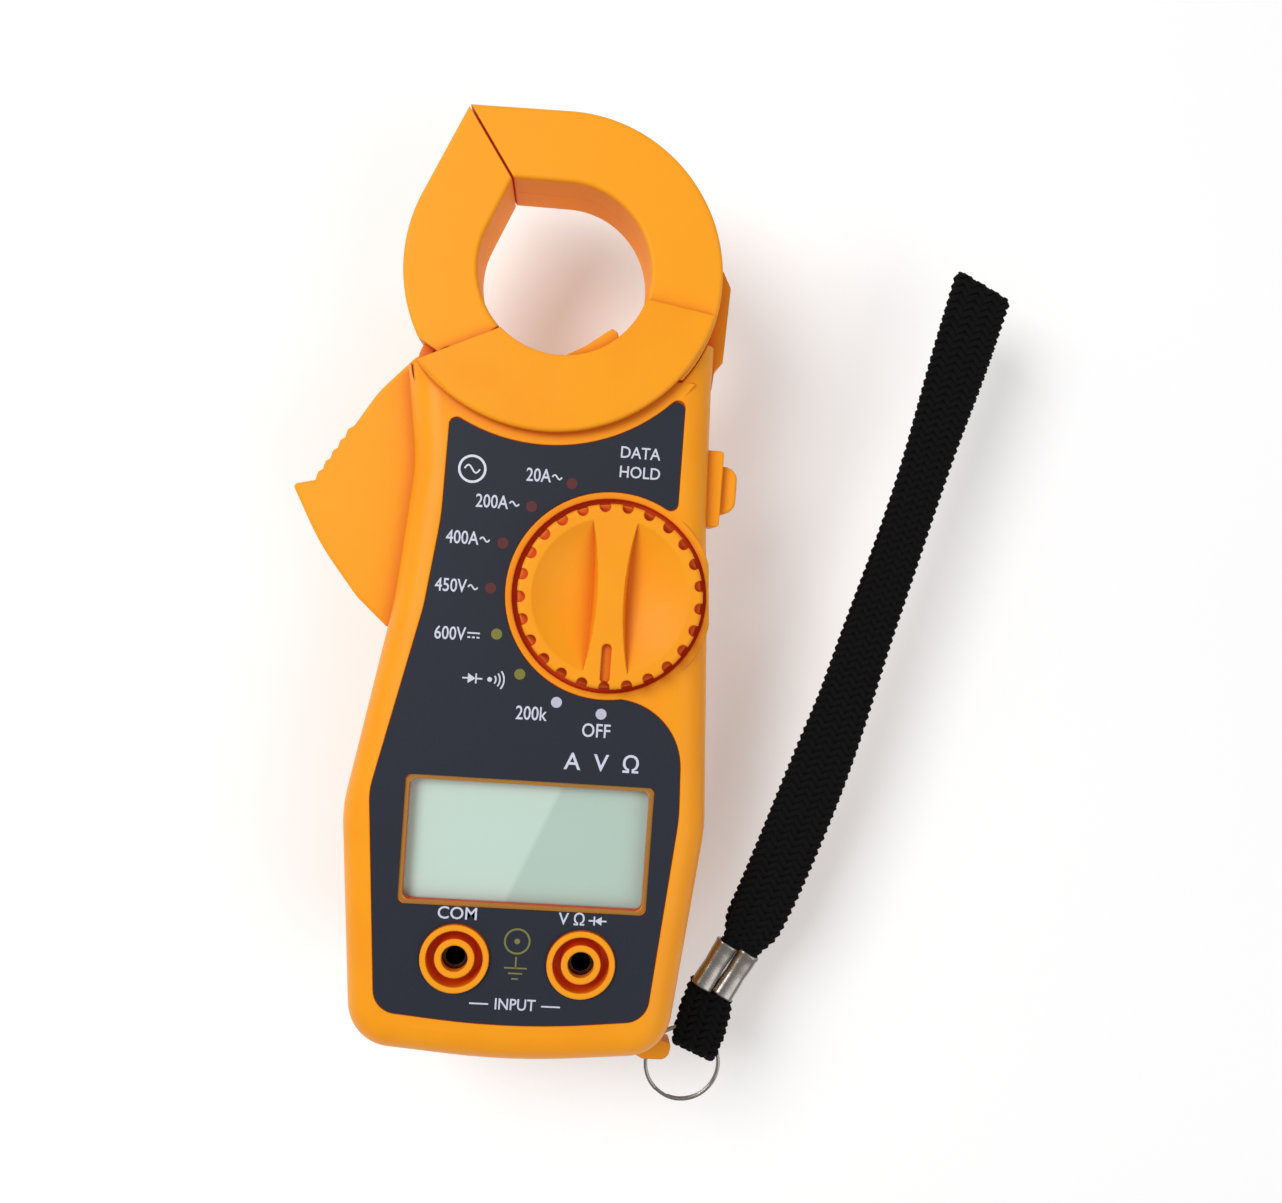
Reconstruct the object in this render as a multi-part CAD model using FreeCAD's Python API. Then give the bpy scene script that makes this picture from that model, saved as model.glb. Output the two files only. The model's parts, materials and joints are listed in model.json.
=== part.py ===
import FreeCAD, Part
import math
import os

# Clamp meter lying on its back: +Z comes out of the display, +Y points to the jaw,
# and the origin is on the back face, on the centreline of the body. Millimetres.

# Case
CASE_FRONT = 28.5
PARTING = 15.0
WALL = 2.2
ROOF = 26.0            # underside of the front face
PANEL_Z = 28.0         # floor of the recess that holds the printed panel
FRONT_ROUND = 6.8
BACK_ROUND = 5.0
GAP = 0.15             # gap between fixed neighbours

# Jaws and collars
HOLE = (0.0, 99.0)
HOLE_R = 18.0
JAW = (0.0, 98.5)
JAW_R = 33.2
TIP = (-21.7, 131.1)
INNER_TIP = (-11.9, 116.9)
JAW_BACK = 9.6
JAW_MID = 19.6
JAW_FRONT = 29.6
ROOT_TOP = 25.6        # front of the jaw root, which turns under the case roof
TRIGGER_TOP = 18.6
SOCKET_R = 33.4         # inner and outer radius of the wall round the jaws
SOCKET_R_OUT = 35.8
COLLAR = (-2.0, 100.3)  # centre of the outer edge of the front collar
COLLAR_R = 35.3
PANEL_ARC_R = 37.9      # upper edge of the printed panel, about the same centre
LEDGE_R = 33.2          # wall that carries the collar, set back from its edge
COLLAR_Z = 29.8
COLLAR_TOP = 31.4
REAR_COLLAR = (8.0, 9.4)
PIVOT = (-22.0, 78.0)
PIN_R = 2.0
HUB_R = 7.25
BOSS_R = 2.9           # boss under the collar that holds the front end of the pin
SPLIT_ANGLE = 40.0     # line from the pivot to the hole where the two jaws part
ROOT_ANGLE = 148.0     # line from the pivot that ends the full depth of the moving jaw
SWEEP_Z = (9.2, 19.2)  # room in the case for the trigger
CORE_Z = (14.0, 25.2)
CORE_R = (22.0, 29.6)

# Knob and board
KNOB = (14.2, 31.9)
KNOB_R = 19.2
KNOB_TOP = 34.0
KNOB_BACK = 25.2
WELL_R = 20.5
WELL_RIM = 22.0
WELL_FLOOR = (23.6, 25.0)
NOTCHES = 25
BOARD = (19.4, 21.0)
ROTOR = (21.3, 23.4)

# Display, jacks, button
LCD = (0.5, -21.7)
LCD_SIZE = (50.3, 25.3)
JACKS = [("com", -12.9, -46.3), ("volt", 13.7, -46.3)]
JACK_R = 7.25
BUTTON_Y = (51.4, 61.8)
BUTTON_Z = (12.0, 20.0)
BUTTON_FACE = 40.6     # outer end of the button

# Battery bay
CELL_R = 5.25
CELL_L = 44.5
CELL_Y = [-30.0, -18.8]
CELL_Z = 7.6
DOOR = (-29.0, 29.0, -44.0, -10.0)
DOOR_T = 2.0
BAY = (-27.8, 27.8, -36.6, -12.2)
DOOR_SCREW = (0.0, -41.0)

# Screws
CASE_SCREWS = [(-26.8, -58.6), (26.2, -58.6), (-28.9, 6.5), (27.2, 68.0)]
BOARD_SCREWS = [(-26.5, -3.5), (28.0, -3.0), (21.2, 56.5)]
ROOT_SCREWS = [(5.5, 59.5), (12.8, 59.5)]
JAW_SCREW_R = 0.8

# Ring, tether and wrist loop
RING = (39.7, -75.8)
RING_R = 8.5
WIRE_R = 0.45
RING_Z = 5.5
LUG_ANGLE = 154.0
LUG_Z = (3.0, 8.0)
TETHER_ANGLE = 67.8    # direction of the tether in plan
TETHER_W = 10.4
TETHER_FOLD = (41.9, -72.5)
FERRULE_ANGLE = 61.3
FERRULES = [(45.6, -52.4), (50.7, -54.3)]
FERRULE_SIZE = (5.2, 11.8, 3.8)
LOOP_W = 12.8
LOOP_Z = (3.7, 7.3)
LOOP_LINE = [(52.6, -45.4), (57.8, -31.5), (64.9, -11.0), (70.7, 8.0), (75.7, 26.5), (80.7, 45.0),
             (85.0, 61.5), (88.6, 76.0), (92.6, 92.0), (96.8, 108.5)]


def vec(x, y, z=0.0):
    return FreeCAD.Vector(x, y, z)


def disc(x, y, r, z0, z1):
    return Part.makeCylinder(r, z1 - z0, vec(x, y, z0))


def tube(x, y, r_in, r_out, z0, z1):
    return disc(x, y, r_out, z0, z1).cut(disc(x, y, r_in, z0, z1))


def box(x0, x1, y0, y1, z0, z1):
    return Part.makeBox(x1 - x0, y1 - y0, z1 - z0, vec(x0, y0, z0))


def polar(centre, r, degrees):
    a = math.radians(degrees)
    return centre[0] + r * math.cos(a), centre[1] + r * math.sin(a)


def corner(before, here, after, r):
    """Two tangent points and the middle of the arc that rounds one corner."""
    a = vec(before[0] - here[0], before[1] - here[1]).normalize()
    b = vec(after[0] - here[0], after[1] - here[1]).normalize()
    half = a.getAngle(b) / 2
    reach = r / math.tan(half)
    p = vec(here[0], here[1])
    middle = (a + b).normalize() * (r / math.sin(half) - r)
    return p + a * reach, p + middle, p + b * reach


def outline(points):
    """Closed plane wire through (x, y, corner radius) points."""
    count = len(points)
    stops = []
    for i, (x, y, r) in enumerate(points):
        if r:
            stops.append(corner(points[i - 1], (x, y), points[(i + 1) % count], r))
        else:
            stops.append((vec(x, y),))
    edges = []
    for i, stop in enumerate(stops):
        if len(stop) == 3:
            edges.append(Part.Arc(*stop).toShape())
        start = stop[-1]
        end = stops[(i + 1) % count][0]
        if start.distanceToPoint(end) > 1e-6:
            edges.append(Part.makeLine(start, end))
    return Part.Wire(edges)


def raised(wire, z0, z1, grow=0.0):
    """Prism on a wire, grown or shrunk sideways first."""
    face = Part.Face(wire)
    if grow:
        face = face.makeOffset2D(grow)
    solid = face.extrude(vec(0, 0, z1 - z0))
    solid.translate(vec(0, 0, z0))
    return solid


def prism(points, z0, z1, grow=0.0):
    return raised(outline(points), z0, z1, grow)


def plate(x0, x1, y0, y1, r, z0, z1):
    return prism([(x0, y0, r), (x1, y0, r), (x1, y1, r), (x0, y1, r)], z0, z1)


def fuse(shapes):
    result = shapes[0]
    if len(shapes) > 1:
        result = result.multiFuse(shapes[1:])
    return result.removeSplitter()


def round_edges(shape, radius, chosen):
    """Fillet the edges that a test picks, and keep the shape if none fits."""
    edges = [edge for edge in shape.Edges if chosen(edge)]
    return shape.makeFillet(radius, edges) if edges else shape


def edge_at(z, tolerance=0.01):
    return lambda edge: (abs(edge.BoundBox.ZMin - z) < tolerance
                         and abs(edge.BoundBox.ZMax - z) < tolerance)


def upright_near(x, y, reach=0.8):
    def test(edge):
        b = edge.BoundBox
        return (b.ZLength > 0.2 and b.XLength < 0.01 and b.YLength < 0.01
                and math.hypot(b.XMin - x, b.YMin - y) < reach)
    return test


def save(name, shape):
    solids = shape.Solids
    result = solids[0] if len(solids) == 1 else Part.makeCompound(solids)
    result.exportStep("parts/" + name + ".step")


def coil(x, y, z, r, wire, pitch, height, axis=(0, 0, 1)):
    """Helical spring of eight-sided wire that starts at a point and runs along an axis."""
    helix = Part.makeHelix(pitch, height, r)
    flats = [polar((r, 0), wire, 45.0 * i + 22.5) for i in range(8)]
    section = Part.makePolygon([vec(across, 0, along) for across, along in flats + flats[:1]])
    spring = Part.Wire(helix).makePipeShell([section], True, True)
    turn = FreeCAD.Rotation(vec(0, 0, 1), vec(*axis))
    spring.Placement = FreeCAD.Placement(vec(x, y, z), turn)
    return Part.Solid(spring) if spring.ShapeType != "Solid" else spring


def cross_screw(x, y, head_z, head_h, head_r, shank_r, length, up=1):
    """Pan head screw with a cross recess. up=1 drives towards +Z."""
    head = disc(x, y, head_r, 0, head_h)
    for half_x, half_y in ((head_r * 0.6, 0.3), (0.3, head_r * 0.6)):
        head = head.cut(box(x - half_x, x + half_x, y - half_y, y + half_y, -0.1, head_h * 0.55))
    screw = fuse([head, disc(x, y, shank_r, head_h - 0.1, head_h + length)])
    if up < 0:
        screw.rotate(vec(x, y, 0), vec(1, 0, 0), 180)
    screw.translate(vec(0, 0, head_z))
    return screw


# ---------------------------------------------------------------- case shells

CASE_LINE = [(-31.6, 77.8, 0), (-28.7, 57.0, 40), (-31.2, 28.0, 60), (-39.2, -17.0, 30),
             (-34.6, -67.2, 10), (0.0, -69.9, 160), (33.6, -66.9, 10), (38.7, -17.0, 30), (36.0, 26.0, 60),
             (34.1, 50.0, 60), (33.1, 77.8, 0)]


def case_block(z0, z1, inset, edge_z, edge_r):
    """Case volume with one rounded rim, open at the top where the jaws enter."""
    block = prism(CASE_LINE, z0, z1, -inset)

    def rim(edge):
        return edge_at(edge_z)(edge) and edge.BoundBox.YMin < 76.5 - inset
    return round_edges(block, edge_r, rim)


def jaw_zone(r, z0, z1):
    return disc(JAW[0], JAW[1], r, z0, z1)


def trigger_sweep(z0, z1):
    """Area that the trigger needs inside the case as the jaw opens."""
    points = [(*PIVOT, 0), (*polar(PIVOT, 9.5, -12), 0), (-7.5, 55.0, 0), (2.0, 22.0, 0),
              (-40.0, 15.0, 0), (-60.0, 60.0, 0), (-35.0, 80.0, 0)]
    return prism(points, z0, z1)


def trigger_window(z0, z1):
    """Opening in the left wall and under the arc wall for jaw root and trigger."""
    side = box(-45, -20, 19.0, 79, z0, z1)
    under_arc = box(-33, 25.5, 58, 79, z0, z1)
    return fuse([side, under_arc])


def collar_plate(centre, r_out, z0, z1):
    """Ring sector that laps over the lower half of both jaws."""
    ring = disc(centre[0], centre[1], r_out, z0, z1).cut(disc(HOLE[0], HOLE[1], HOLE_R + 0.1, z0, z1))
    keep = prism([(-11.0, 86.2, 0), (0.0, 96.7, 0), (60.0, 87.3, 0), (60.0, 40.0, 0),
                  (-60.0, 40.0, 0), (-60.0, 62.7, 0)], z0, z1)
    return ring.common(keep)


def collar_ledge():
    """Arc wall below the collar, where the case front meets the jaws."""
    rim = disc(JAW[0], JAW[1], SOCKET_R_OUT, ROOF, CASE_FRONT)
    rim = rim.cut(disc(COLLAR[0], COLLAR[1], LEDGE_R, ROOF, CASE_FRONT))
    wall = tube(COLLAR[0], COLLAR[1], LEDGE_R, LEDGE_R + 1.2, ROOF, COLLAR_Z + 0.1)
    return fuse([rim, wall]).common(box(-31.4, 33.0, 55, 77.8, ROOF, COLLAR_TOP))


def panel_outline(grow, z0, z1):
    """Printed panel: case-shaped, cut by the collar above and the knob well."""
    points = [(-21.3, 76.0, 0), (-21.8, 46.0, 60), (-24.2, 27.0, 30), (-32.8, -12.0, 14),
              (-28.9, -58.2, 5), (0.0, -60.8, 170), (28.3, -57.8, 5), (32.2, -14.0, 40),
              (31.1, 10.3, 14.5), (14.2, 10.3, 0), (14.2, 32.0, 0), (27.2, 48.0, 0), (27.2, 78.0, 0)]
    sheet = prism(points, z0, z1, grow)
    sheet = sheet.cut(disc(COLLAR[0], COLLAR[1], PANEL_ARC_R - grow, z0 - 1, z1 + 1))
    sheet = sheet.cut(disc(KNOB[0], KNOB[1], WELL_RIM - grow, z0 - 1, z1 + 1))
    for x, y in ((-21.3, 67.7), (27.2, 75.9), (27.2, 49.7)):
        sheet = round_edges(sheet, 1.6, upright_near(x, y, 2.0))
    return sheet


def lcd_plate(grow, z0, z1, r=1.5):
    half_x = LCD_SIZE[0] / 2 + grow
    half_y = LCD_SIZE[1] / 2 + grow
    return plate(LCD[0] - half_x, LCD[0] + half_x, LCD[1] - half_y, LCD[1] + half_y, r, z0, z1)


def case_horn():
    """Right wall of the front case, drawn out to a point beside the fixed jaw."""
    x0, x1 = 22.0, 33.1
    horn = box(x0, x1, 76.5, 86.5, 20.6, CASE_FRONT)
    horn = round_edges(horn, FRONT_ROUND, lambda edge: edge_at(CASE_FRONT)(edge)
                       and edge.BoundBox.XMin > x1 - 0.1)
    return horn.cut(jaw_zone(SOCKET_R, 0, 40))


def button_collar(z0, z1):
    """Square collar on the right wall round the side button."""
    return plate(31.2, 37.0, 48.4, 64.8, 0.8, z0, z1)


def button_hole(grow=0.1):
    y0, y1 = BUTTON_Y
    z0, z1 = BUTTON_Z
    return box(30.0, 40.0, y0 - grow, y1 + grow, z0 - grow, z1 + grow)


def button_pocket():
    """Room behind the collar for the flange of the button and its stroke."""
    return box(28.0, 33.4, 49.8, 63.4, 10.6, 21.4)


def front_case():
    shell = case_block(PARTING, CASE_FRONT, 0, CASE_FRONT, FRONT_ROUND)
    shell = shell.cut(jaw_zone(SOCKET_R, PARTING - 1, CASE_FRONT + 1))
    room = case_block(PARTING - 1, ROOF, WALL, ROOF, FRONT_ROUND - WALL)
    room = room.cut(jaw_zone(SOCKET_R_OUT, PARTING - 2, ROOF + 1))
    shell = shell.cut(room)
    well = disc(KNOB[0], KNOB[1], WELL_R + 1.6, WELL_FLOOR[0], CASE_FRONT)
    envelope = case_block(PARTING, CASE_FRONT, 0.02, CASE_FRONT, FRONT_ROUND)
    sharper = case_block(PARTING, CASE_FRONT, 0.02, CASE_FRONT, 2.0)
    parts = [shell, well.common(sharper)]
    collar = collar_plate(COLLAR, COLLAR_R, COLLAR_Z, COLLAR_TOP)
    collar = round_edges(collar, 0.9, lambda edge: edge_at(COLLAR_TOP)(edge)
                         and edge.BoundBox.XLength > 30 and edge.BoundBox.YMin < 70)
    parts += [collar, collar_ledge(), case_horn()]
    parts.append(disc(PIVOT[0], PIVOT[1], BOSS_R, ROOT_TOP + 0.2, COLLAR_Z + 0.2))
    parts.append(button_collar(PARTING, 22.0))
    for x, y in CASE_SCREWS:
        parts.append(disc(x, y, 3.3, PARTING, ROOF + 0.3).common(envelope))
    for x, y in BOARD_SCREWS:
        parts.append(disc(x, y, 2.6, BOARD[1] + 0.1, ROOF + 0.3))
    for _, x, y in JACKS:
        parts.append(disc(x, y, JACK_R, BOARD[1] + 0.4, 29.3))
    shell = fuse(parts)
    cuts = [trigger_window(PARTING - 1, SWEEP_Z[1]),
            disc(PIVOT[0], PIVOT[1], 8.6, PARTING - 1, ROOT_TOP + 0.2),
            disc(KNOB[0], KNOB[1], WELL_R, WELL_FLOOR[1], CASE_FRONT + 1),
            disc(KNOB[0], KNOB[1], 4.5, WELL_FLOOR[0] - 1, WELL_FLOOR[1] + 1),
            panel_outline(GAP, PANEL_Z, CASE_FRONT + 0.6).cut(
                fuse([disc(x, y, JACK_R, PANEL_Z - 1, CASE_FRONT + 2) for _, x, y in JACKS])),
            lcd_plate(0.15, ROOF - 1, CASE_FRONT + 1),
            disc(PIVOT[0], PIVOT[1], PIN_R, ROOT_TOP - 1, 28.2),
            button_hole(), button_pocket()]
    for x, y in CASE_SCREWS:
        cuts.append(disc(x, y, 1.3, PARTING - 1, 24.0))
    for x, y in BOARD_SCREWS:
        cuts.append(disc(x, y, 1.05, BOARD[1], 25.7))
    for _, x, y in JACKS:
        cuts.append(tube(x, y, 4.2, 6.0, 23.0, 30))
        cuts.append(disc(x, y, 3.0, BOARD[1], 26.9))
        cuts.append(disc(x, y, 2.8, 26.8, 30))
        cuts.append(tube(x, y, 2.7, 4.3, 28.9, 30))
    for cutter in cuts:
        shell = shell.cut(cutter)
    return shell


def rear_case():
    shell = case_block(0, PARTING, 0, 0, BACK_ROUND)
    shell = shell.cut(jaw_zone(SOCKET_R, -1, PARTING + 1))
    room = case_block(WALL, PARTING + 1, WALL, WALL, BACK_ROUND - WALL)
    room = room.cut(jaw_zone(SOCKET_R_OUT, 0, PARTING + 2))
    shell = shell.cut(room)
    parts = [shell,
             collar_plate(JAW, SOCKET_R_OUT, REAR_COLLAR[0], REAR_COLLAR[1]),
             side_ear(),
             disc(PIVOT[0], PIVOT[1], 4.2, 5.6, REAR_COLLAR[1]),
             button_collar(10.0, PARTING),
             box(DOOR[0] - 1.8, DOOR[1] + 1.8, DOOR[2] - 1.6, DOOR[3] + 1.6, 0.5, 3.6),
             bay_walls(), lug()]
    for x, y in CASE_SCREWS:
        parts.append(disc(x, y, 3.3, 0.8, PARTING))
    for x, y in ROOT_SCREWS:
        parts.append(disc(x, y, 3.2, 0.8, JAW_BACK - 0.05))
    shell = fuse(parts)
    x0, x1, y0, y1 = BAY
    cuts = [trigger_window(SWEEP_Z[0], PARTING + 1),
            disc(PIVOT[0], PIVOT[1], 8.6, JAW_BACK - 0.1, PARTING + 1),
            disc(PIVOT[0], PIVOT[1], PIN_R, 6.4, 11),
            plate(DOOR[0] - 0.15, DOOR[1] + 0.15, DOOR[2] - 0.15, DOOR[3] + 0.15, 2, -1, DOOR_T + 0.05),
            box(x0, x1, y0, y1, -1, 3.7),
            disc(DOOR_SCREW[0], DOOR_SCREW[1], 1.1, 0, 8.5),
            ring_tunnel(), button_hole(), button_pocket(),
            jaw_zone(SOCKET_R, REAR_COLLAR[1], PARTING + 8)]
    for x, y in CASE_SCREWS:
        cuts.append(disc(x, y, 1.3, 0, PARTING + 1))
        cuts.append(disc(x, y, 2.75, -1, 3.1))
    for x, y in ROOT_SCREWS:
        cuts.append(disc(x, y, 1.3, 5.5, PARTING))
    for cutter in cuts:
        shell = shell.cut(cutter)
    return shell


def side_ear():
    """Side wall of the rear case that runs up beside the fixed jaw."""
    points = [(30.5, 73.0, 0), (33.1, 74.5, 0), (33.7, 82.2, 0.8), (35.4, 84.0, 0.8), (36.0, 100.2, 1.2),
              (34.2, 103.6, 1.0), (31.0, 106.5, 0), (28.0, 90.0, 0)]
    ear = prism(points, REAR_COLLAR[0], 20.5)
    ear = ear.cut(jaw_zone(SOCKET_R, 0, 30))
    return ear.cut(box(20, 40, 70, 78.0, PARTING, 25))


def bay_walls():
    """Ribs round the two cells, and the boss for the door screw."""
    x0, x1, y0, y1 = BAY
    outer = box(x0 - 1.6, x1 + 1.6, y0 - 1.2, y1 + 1.2, 3.0, 12.0)
    ribs = outer.cut(box(x0, x1, y0, y1, 2.0, 13.0))
    return fuse([ribs, disc(DOOR_SCREW[0], DOOR_SCREW[1], 3.0, 2.2, 9.0)])


def lug():
    """Tab at the lower right corner that carries the split ring."""
    points = [(20.0, -64.5, 0), (24.8, -71.6, 4), (30.2, -74.3, 1.5), (36.0, -74.3, 2.2), (36.6, -70.5, 1.0),
              (31.5, -69.0, 0.8), (31.5, -61.5, 0), (26.0, -61.0, 0)]
    tab = prism(points, LUG_Z[0], LUG_Z[1])
    inside = case_block(-1, PARTING, WALL, -1, 0.5)
    return tab.cut(inside)


def ring_tunnel():
    x, y = polar(RING, RING_R, LUG_ANGLE)
    along = polar((0, 0), 1.0, LUG_ANGLE - 90)
    start = vec(x - 6 * along[0], y - 6 * along[1], RING_Z)
    return Part.makeCylinder(1.25, 10.4, start, vec(along[0], along[1], 0))


# ---------------------------------------------------------------- jaws

def teardrop(centre, r, tip, z0, z1):
    """Round prism drawn out by two tangents to a point."""
    dx = tip[0] - centre[0]
    dy = tip[1] - centre[1]
    reach = math.hypot(dx, dy)
    heading = math.degrees(math.atan2(dy, dx))
    spread = math.degrees(math.acos(r / reach))
    first = polar(centre, r, heading - spread)
    second = polar(centre, r, heading + spread)
    nose = prism([(*centre, 0), (*first, 0), (*tip, 0), (*second, 0)], z0, z1)
    return fuse([disc(centre[0], centre[1], r, z0, z1), nose])


def jaw_ring(z0, z1):
    ring = teardrop(JAW, JAW_R, TIP, z0, z1)
    return ring.cut(teardrop(HOLE, HOLE_R, INNER_TIP, z0 - 1, z1 + 1))


def soft_ring(z0, z1, edge_z):
    """Jaw ring with its inner and outer rims rounded at one level."""
    return round_edges(jaw_ring(z0, z1), 0.9, edge_at(edge_z))


def split_point(t):
    return polar(PIVOT, t, SPLIT_ANGLE)


def moving_side(z0, z1, gap=0.0, root_angle=ROOT_ANGLE):
    """Plan area of the moving jaw, drawn back by a gap from both parting faces."""
    dx = TIP[0] - INNER_TIP[0]
    dy = TIP[1] - INNER_TIP[1]
    step = math.hypot(dx, dy)
    side = (dy / step * -gap, dx / step * gap)
    top = (TIP[0] + dx + side[0], TIP[1] + dy + side[1])
    inner = (INNER_TIP[0] - dx * 0.3 + side[0], INNER_TIP[1] - dy * 0.3 + side[1])
    lift = polar((0, 0), gap, SPLIT_ANGLE + 90)
    mouth = split_point(26)
    points = [(*top, 0), (*inner, 0), (mouth[0] + lift[0], mouth[1] + lift[1], 0),
              (PIVOT[0] + lift[0], PIVOT[1] + lift[1], 0), (*polar(PIVOT, 40, root_angle), 0),
              (-75.0, 150.0, 0)]
    return prism(points, z0, z1)


def core_ring(z0, z1, grow=0.0):
    ring = teardrop(JAW, CORE_R[1] + grow, (-19.9, 127.4), z0 - grow, z1 + grow)
    return ring.cut(teardrop(HOLE, CORE_R[0] - grow, (-13.7, 121.0), z0 - 1, z1 + 1))


def core_keep_out(z0, z1):
    """Area round the pivot that no core may enter."""
    return disc(PIVOT[0], PIVOT[1], HUB_R + 2.2, z0, z1)


def moving_core():
    core = core_ring(*CORE_Z).common(moving_side(CORE_Z[0], CORE_Z[1], 0.1))
    return core.cut(core_keep_out(0, 40))


def fixed_core():
    core = core_ring(*CORE_Z).cut(moving_side(CORE_Z[0] - 1, CORE_Z[1] + 1, -0.1, 230.0))
    return core.cut(core_keep_out(0, 40)).cut(trigger_sweep(0, 40))


def winding(angle0, angle1, grow=0.0):
    """Coil of wire round one stretch of core, between two angles about the jaw centre."""
    ring = tube(JAW[0], JAW[1], 20.6 - grow, 31.0 + grow, CORE_Z[0] - 1.5 - grow, CORE_Z[1] + 1.5 + grow)
    reach = 60.0
    middle = (angle0 + angle1) / 2
    wedge = prism([(*JAW, 0), (*polar(JAW, reach, angle0 - grow * 2), 0), (*polar(JAW, reach, middle), 0),
                   (*polar(JAW, reach, angle1 + grow * 2), 0)], 5, 35)
    return ring.common(wedge)


MOVING_WINDING = (166.0, 192.0)
FIXED_WINDING = (-14.0, 40.0)


def wound(angles):
    return winding(*angles).cut(core_ring(CORE_Z[0], CORE_Z[1], 0.1))


def jaw_pocket(angles, side):
    """Room inside a jaw for its core and its coil."""
    core = core_ring(CORE_Z[0], CORE_Z[1], 0.12).common(side)
    core = core.cut(disc(PIVOT[0], PIVOT[1], HUB_R + 2.0, 0, 40))
    return fuse([core, winding(angles[0], angles[1], 0.15)])


def serrations():
    """Five finger steps along the upper edge of the trigger."""
    start = (-43.1, 64.2)
    end = (-50.2, 52.3)
    count = 5
    points = []
    for i in range(count):
        x = start[0] + (end[0] - start[0]) * i / count
        y = start[1] + (end[1] - start[1]) * i / count
        points.append((x, y, 0))
        points.append((x + (end[0] - start[0]) / count * 0.25 - 0.6,
                       y + (end[1] - start[1]) / count * 0.25 - 0.1, 0))
    return points


def trigger():
    arc_centre = (13.1, 78.9)
    arc_r = 73.7
    sweep = [polar(arc_centre, arc_r, angle) for angle in (202.2, 213.2, 224.0)]
    points = [(-27.0, 82.0, 0), (-31.2, 79.8, 0), (-38.2, 72.2, 25)] + serrations() + [(-50.2, 52.3, 0)]
    points += [(*sweep[0], 0.8), (*sweep[1], 60), (*sweep[2], 0), (-33.4, 21.9, 0), (-28.2, 20.2, 3),
               (-17.0, 73.0, 0), (-22.0, 79.0, 0)]
    grip = prism(points, JAW_BACK, TRIGGER_TOP)
    return round_edges(grip, 1.0, lambda edge: edge_at(TRIGGER_TOP)(edge) and edge.BoundBox.XMax < -27.5
                       and edge.BoundBox.YMax < 79.5 and edge.Length > 4)


def jaw_screw_spots(moving):
    angles = (205.0, 150.0) if moving else (60.0, -52.0)
    return [polar(JAW, 31.4, angle) for angle in angles]


def jaw_screw_holes(moving):
    """Holes from the back through the rear half of a jaw into the front half."""
    holes = []
    for x, y in jaw_screw_spots(moving):
        holes.append(disc(x, y, JAW_SCREW_R + 0.05, JAW_BACK - 1, 27.0))
        holes.append(disc(x, y, 1.6, JAW_BACK - 1, JAW_BACK + 1.3))
    return fuse(holes)


def jaw_screws(moving):
    return Part.makeCompound([cross_screw(x, y, JAW_BACK + 0.15, 1.1, 1.5, JAW_SCREW_R, 15.0)
                              for x, y in jaw_screw_spots(moving)])


def moving_arm(z0, z1, edge_z):
    return soft_ring(z0, z1, edge_z).common(moving_side(z0 - 1, z1 + 1, 0.4))


def moving_jaw_rear():
    hub = disc(PIVOT[0], PIVOT[1], HUB_R, JAW_BACK, JAW_MID)
    jaw = fuse([moving_arm(JAW_BACK, JAW_MID, JAW_BACK), hub, trigger()])
    jaw = jaw.cut(fixed_root_clearance())
    jaw = jaw.cut(jaw_pocket(MOVING_WINDING, moving_side(0, 40, -0.5)))
    jaw = jaw.cut(jaw_screw_holes(True))
    return jaw.cut(disc(PIVOT[0], PIVOT[1], PIN_R + 0.06, 0, 40))


def moving_jaw_front():
    arm = moving_arm(JAW_MID, JAW_FRONT, JAW_FRONT)
    arm = arm.cut(disc(PIVOT[0], PIVOT[1], BOSS_R + 0.25, ROOT_TOP, 40))
    jaw = fuse([arm, disc(PIVOT[0], PIVOT[1], HUB_R, JAW_MID, ROOT_TOP)])
    jaw = jaw.cut(jaw_pocket(MOVING_WINDING, moving_side(0, 40, -0.5)))
    jaw = jaw.cut(jaw_screw_holes(True))
    jaw = jaw.cut(disc(PIVOT[0], PIVOT[1], PIN_R + 0.06, 0, 40))
    return jaw.cut(disc(PIVOT[0], PIVOT[1], 4.9, 20.6, ROOT_TOP))


def fixed_root_clearance():
    """Keeps the trigger root off the fixed jaw at its mouth."""
    ring = jaw_ring(JAW_BACK - 1, TRIGGER_TOP + 0.01)
    return fixed_side(ring, JAW_BACK - 1, TRIGGER_TOP + 0.01).cut(disc(PIVOT[0], PIVOT[1], HUB_R, 0, 40))


def fixed_side(ring, z0, z1):
    """Plan area of the fixed jaw: all of the ring that the moving jaw leaves free."""
    ring = ring.cut(moving_side(z0 - 1, z1 + 1, -0.1, 230.0))
    ring = ring.cut(disc(PIVOT[0], PIVOT[1], HUB_R + 0.35, z0 - 1, min(z1 + 1, ROOT_TOP + 0.2)))
    ring = ring.cut(disc(PIVOT[0], PIVOT[1], BOSS_R + 0.25, z0 - 1, z1 + 1))
    return ring.cut(box(-40, PIVOT[0] + 6.5, 60, 77.0, z0 - 1, z1 + 1))


def fixed_jaw_rear():
    root = plate(2.0, 16.5, 55.0, 72.0, 1.5, JAW_BACK, TRIGGER_TOP)
    arm = fixed_side(soft_ring(JAW_BACK, JAW_MID, JAW_BACK), JAW_BACK, JAW_MID)
    jaw = fuse([arm, root])
    jaw = jaw.cut(trigger_sweep(0, TRIGGER_TOP + 0.4))
    jaw = jaw.cut(jaw_pocket(FIXED_WINDING, fixed_pocket_side()))
    for x, y in ROOT_SCREWS:
        jaw = jaw.cut(disc(x, y, 1.3, 0, 40)).cut(disc(x, y, 2.4, 16.6, 40))
    return jaw.cut(jaw_screw_holes(False))


def fixed_pocket_side():
    ring = disc(JAW[0], JAW[1], 60, 0, 40)
    return ring.cut(moving_side(-1, 41, 0.5, 230.0))


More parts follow.
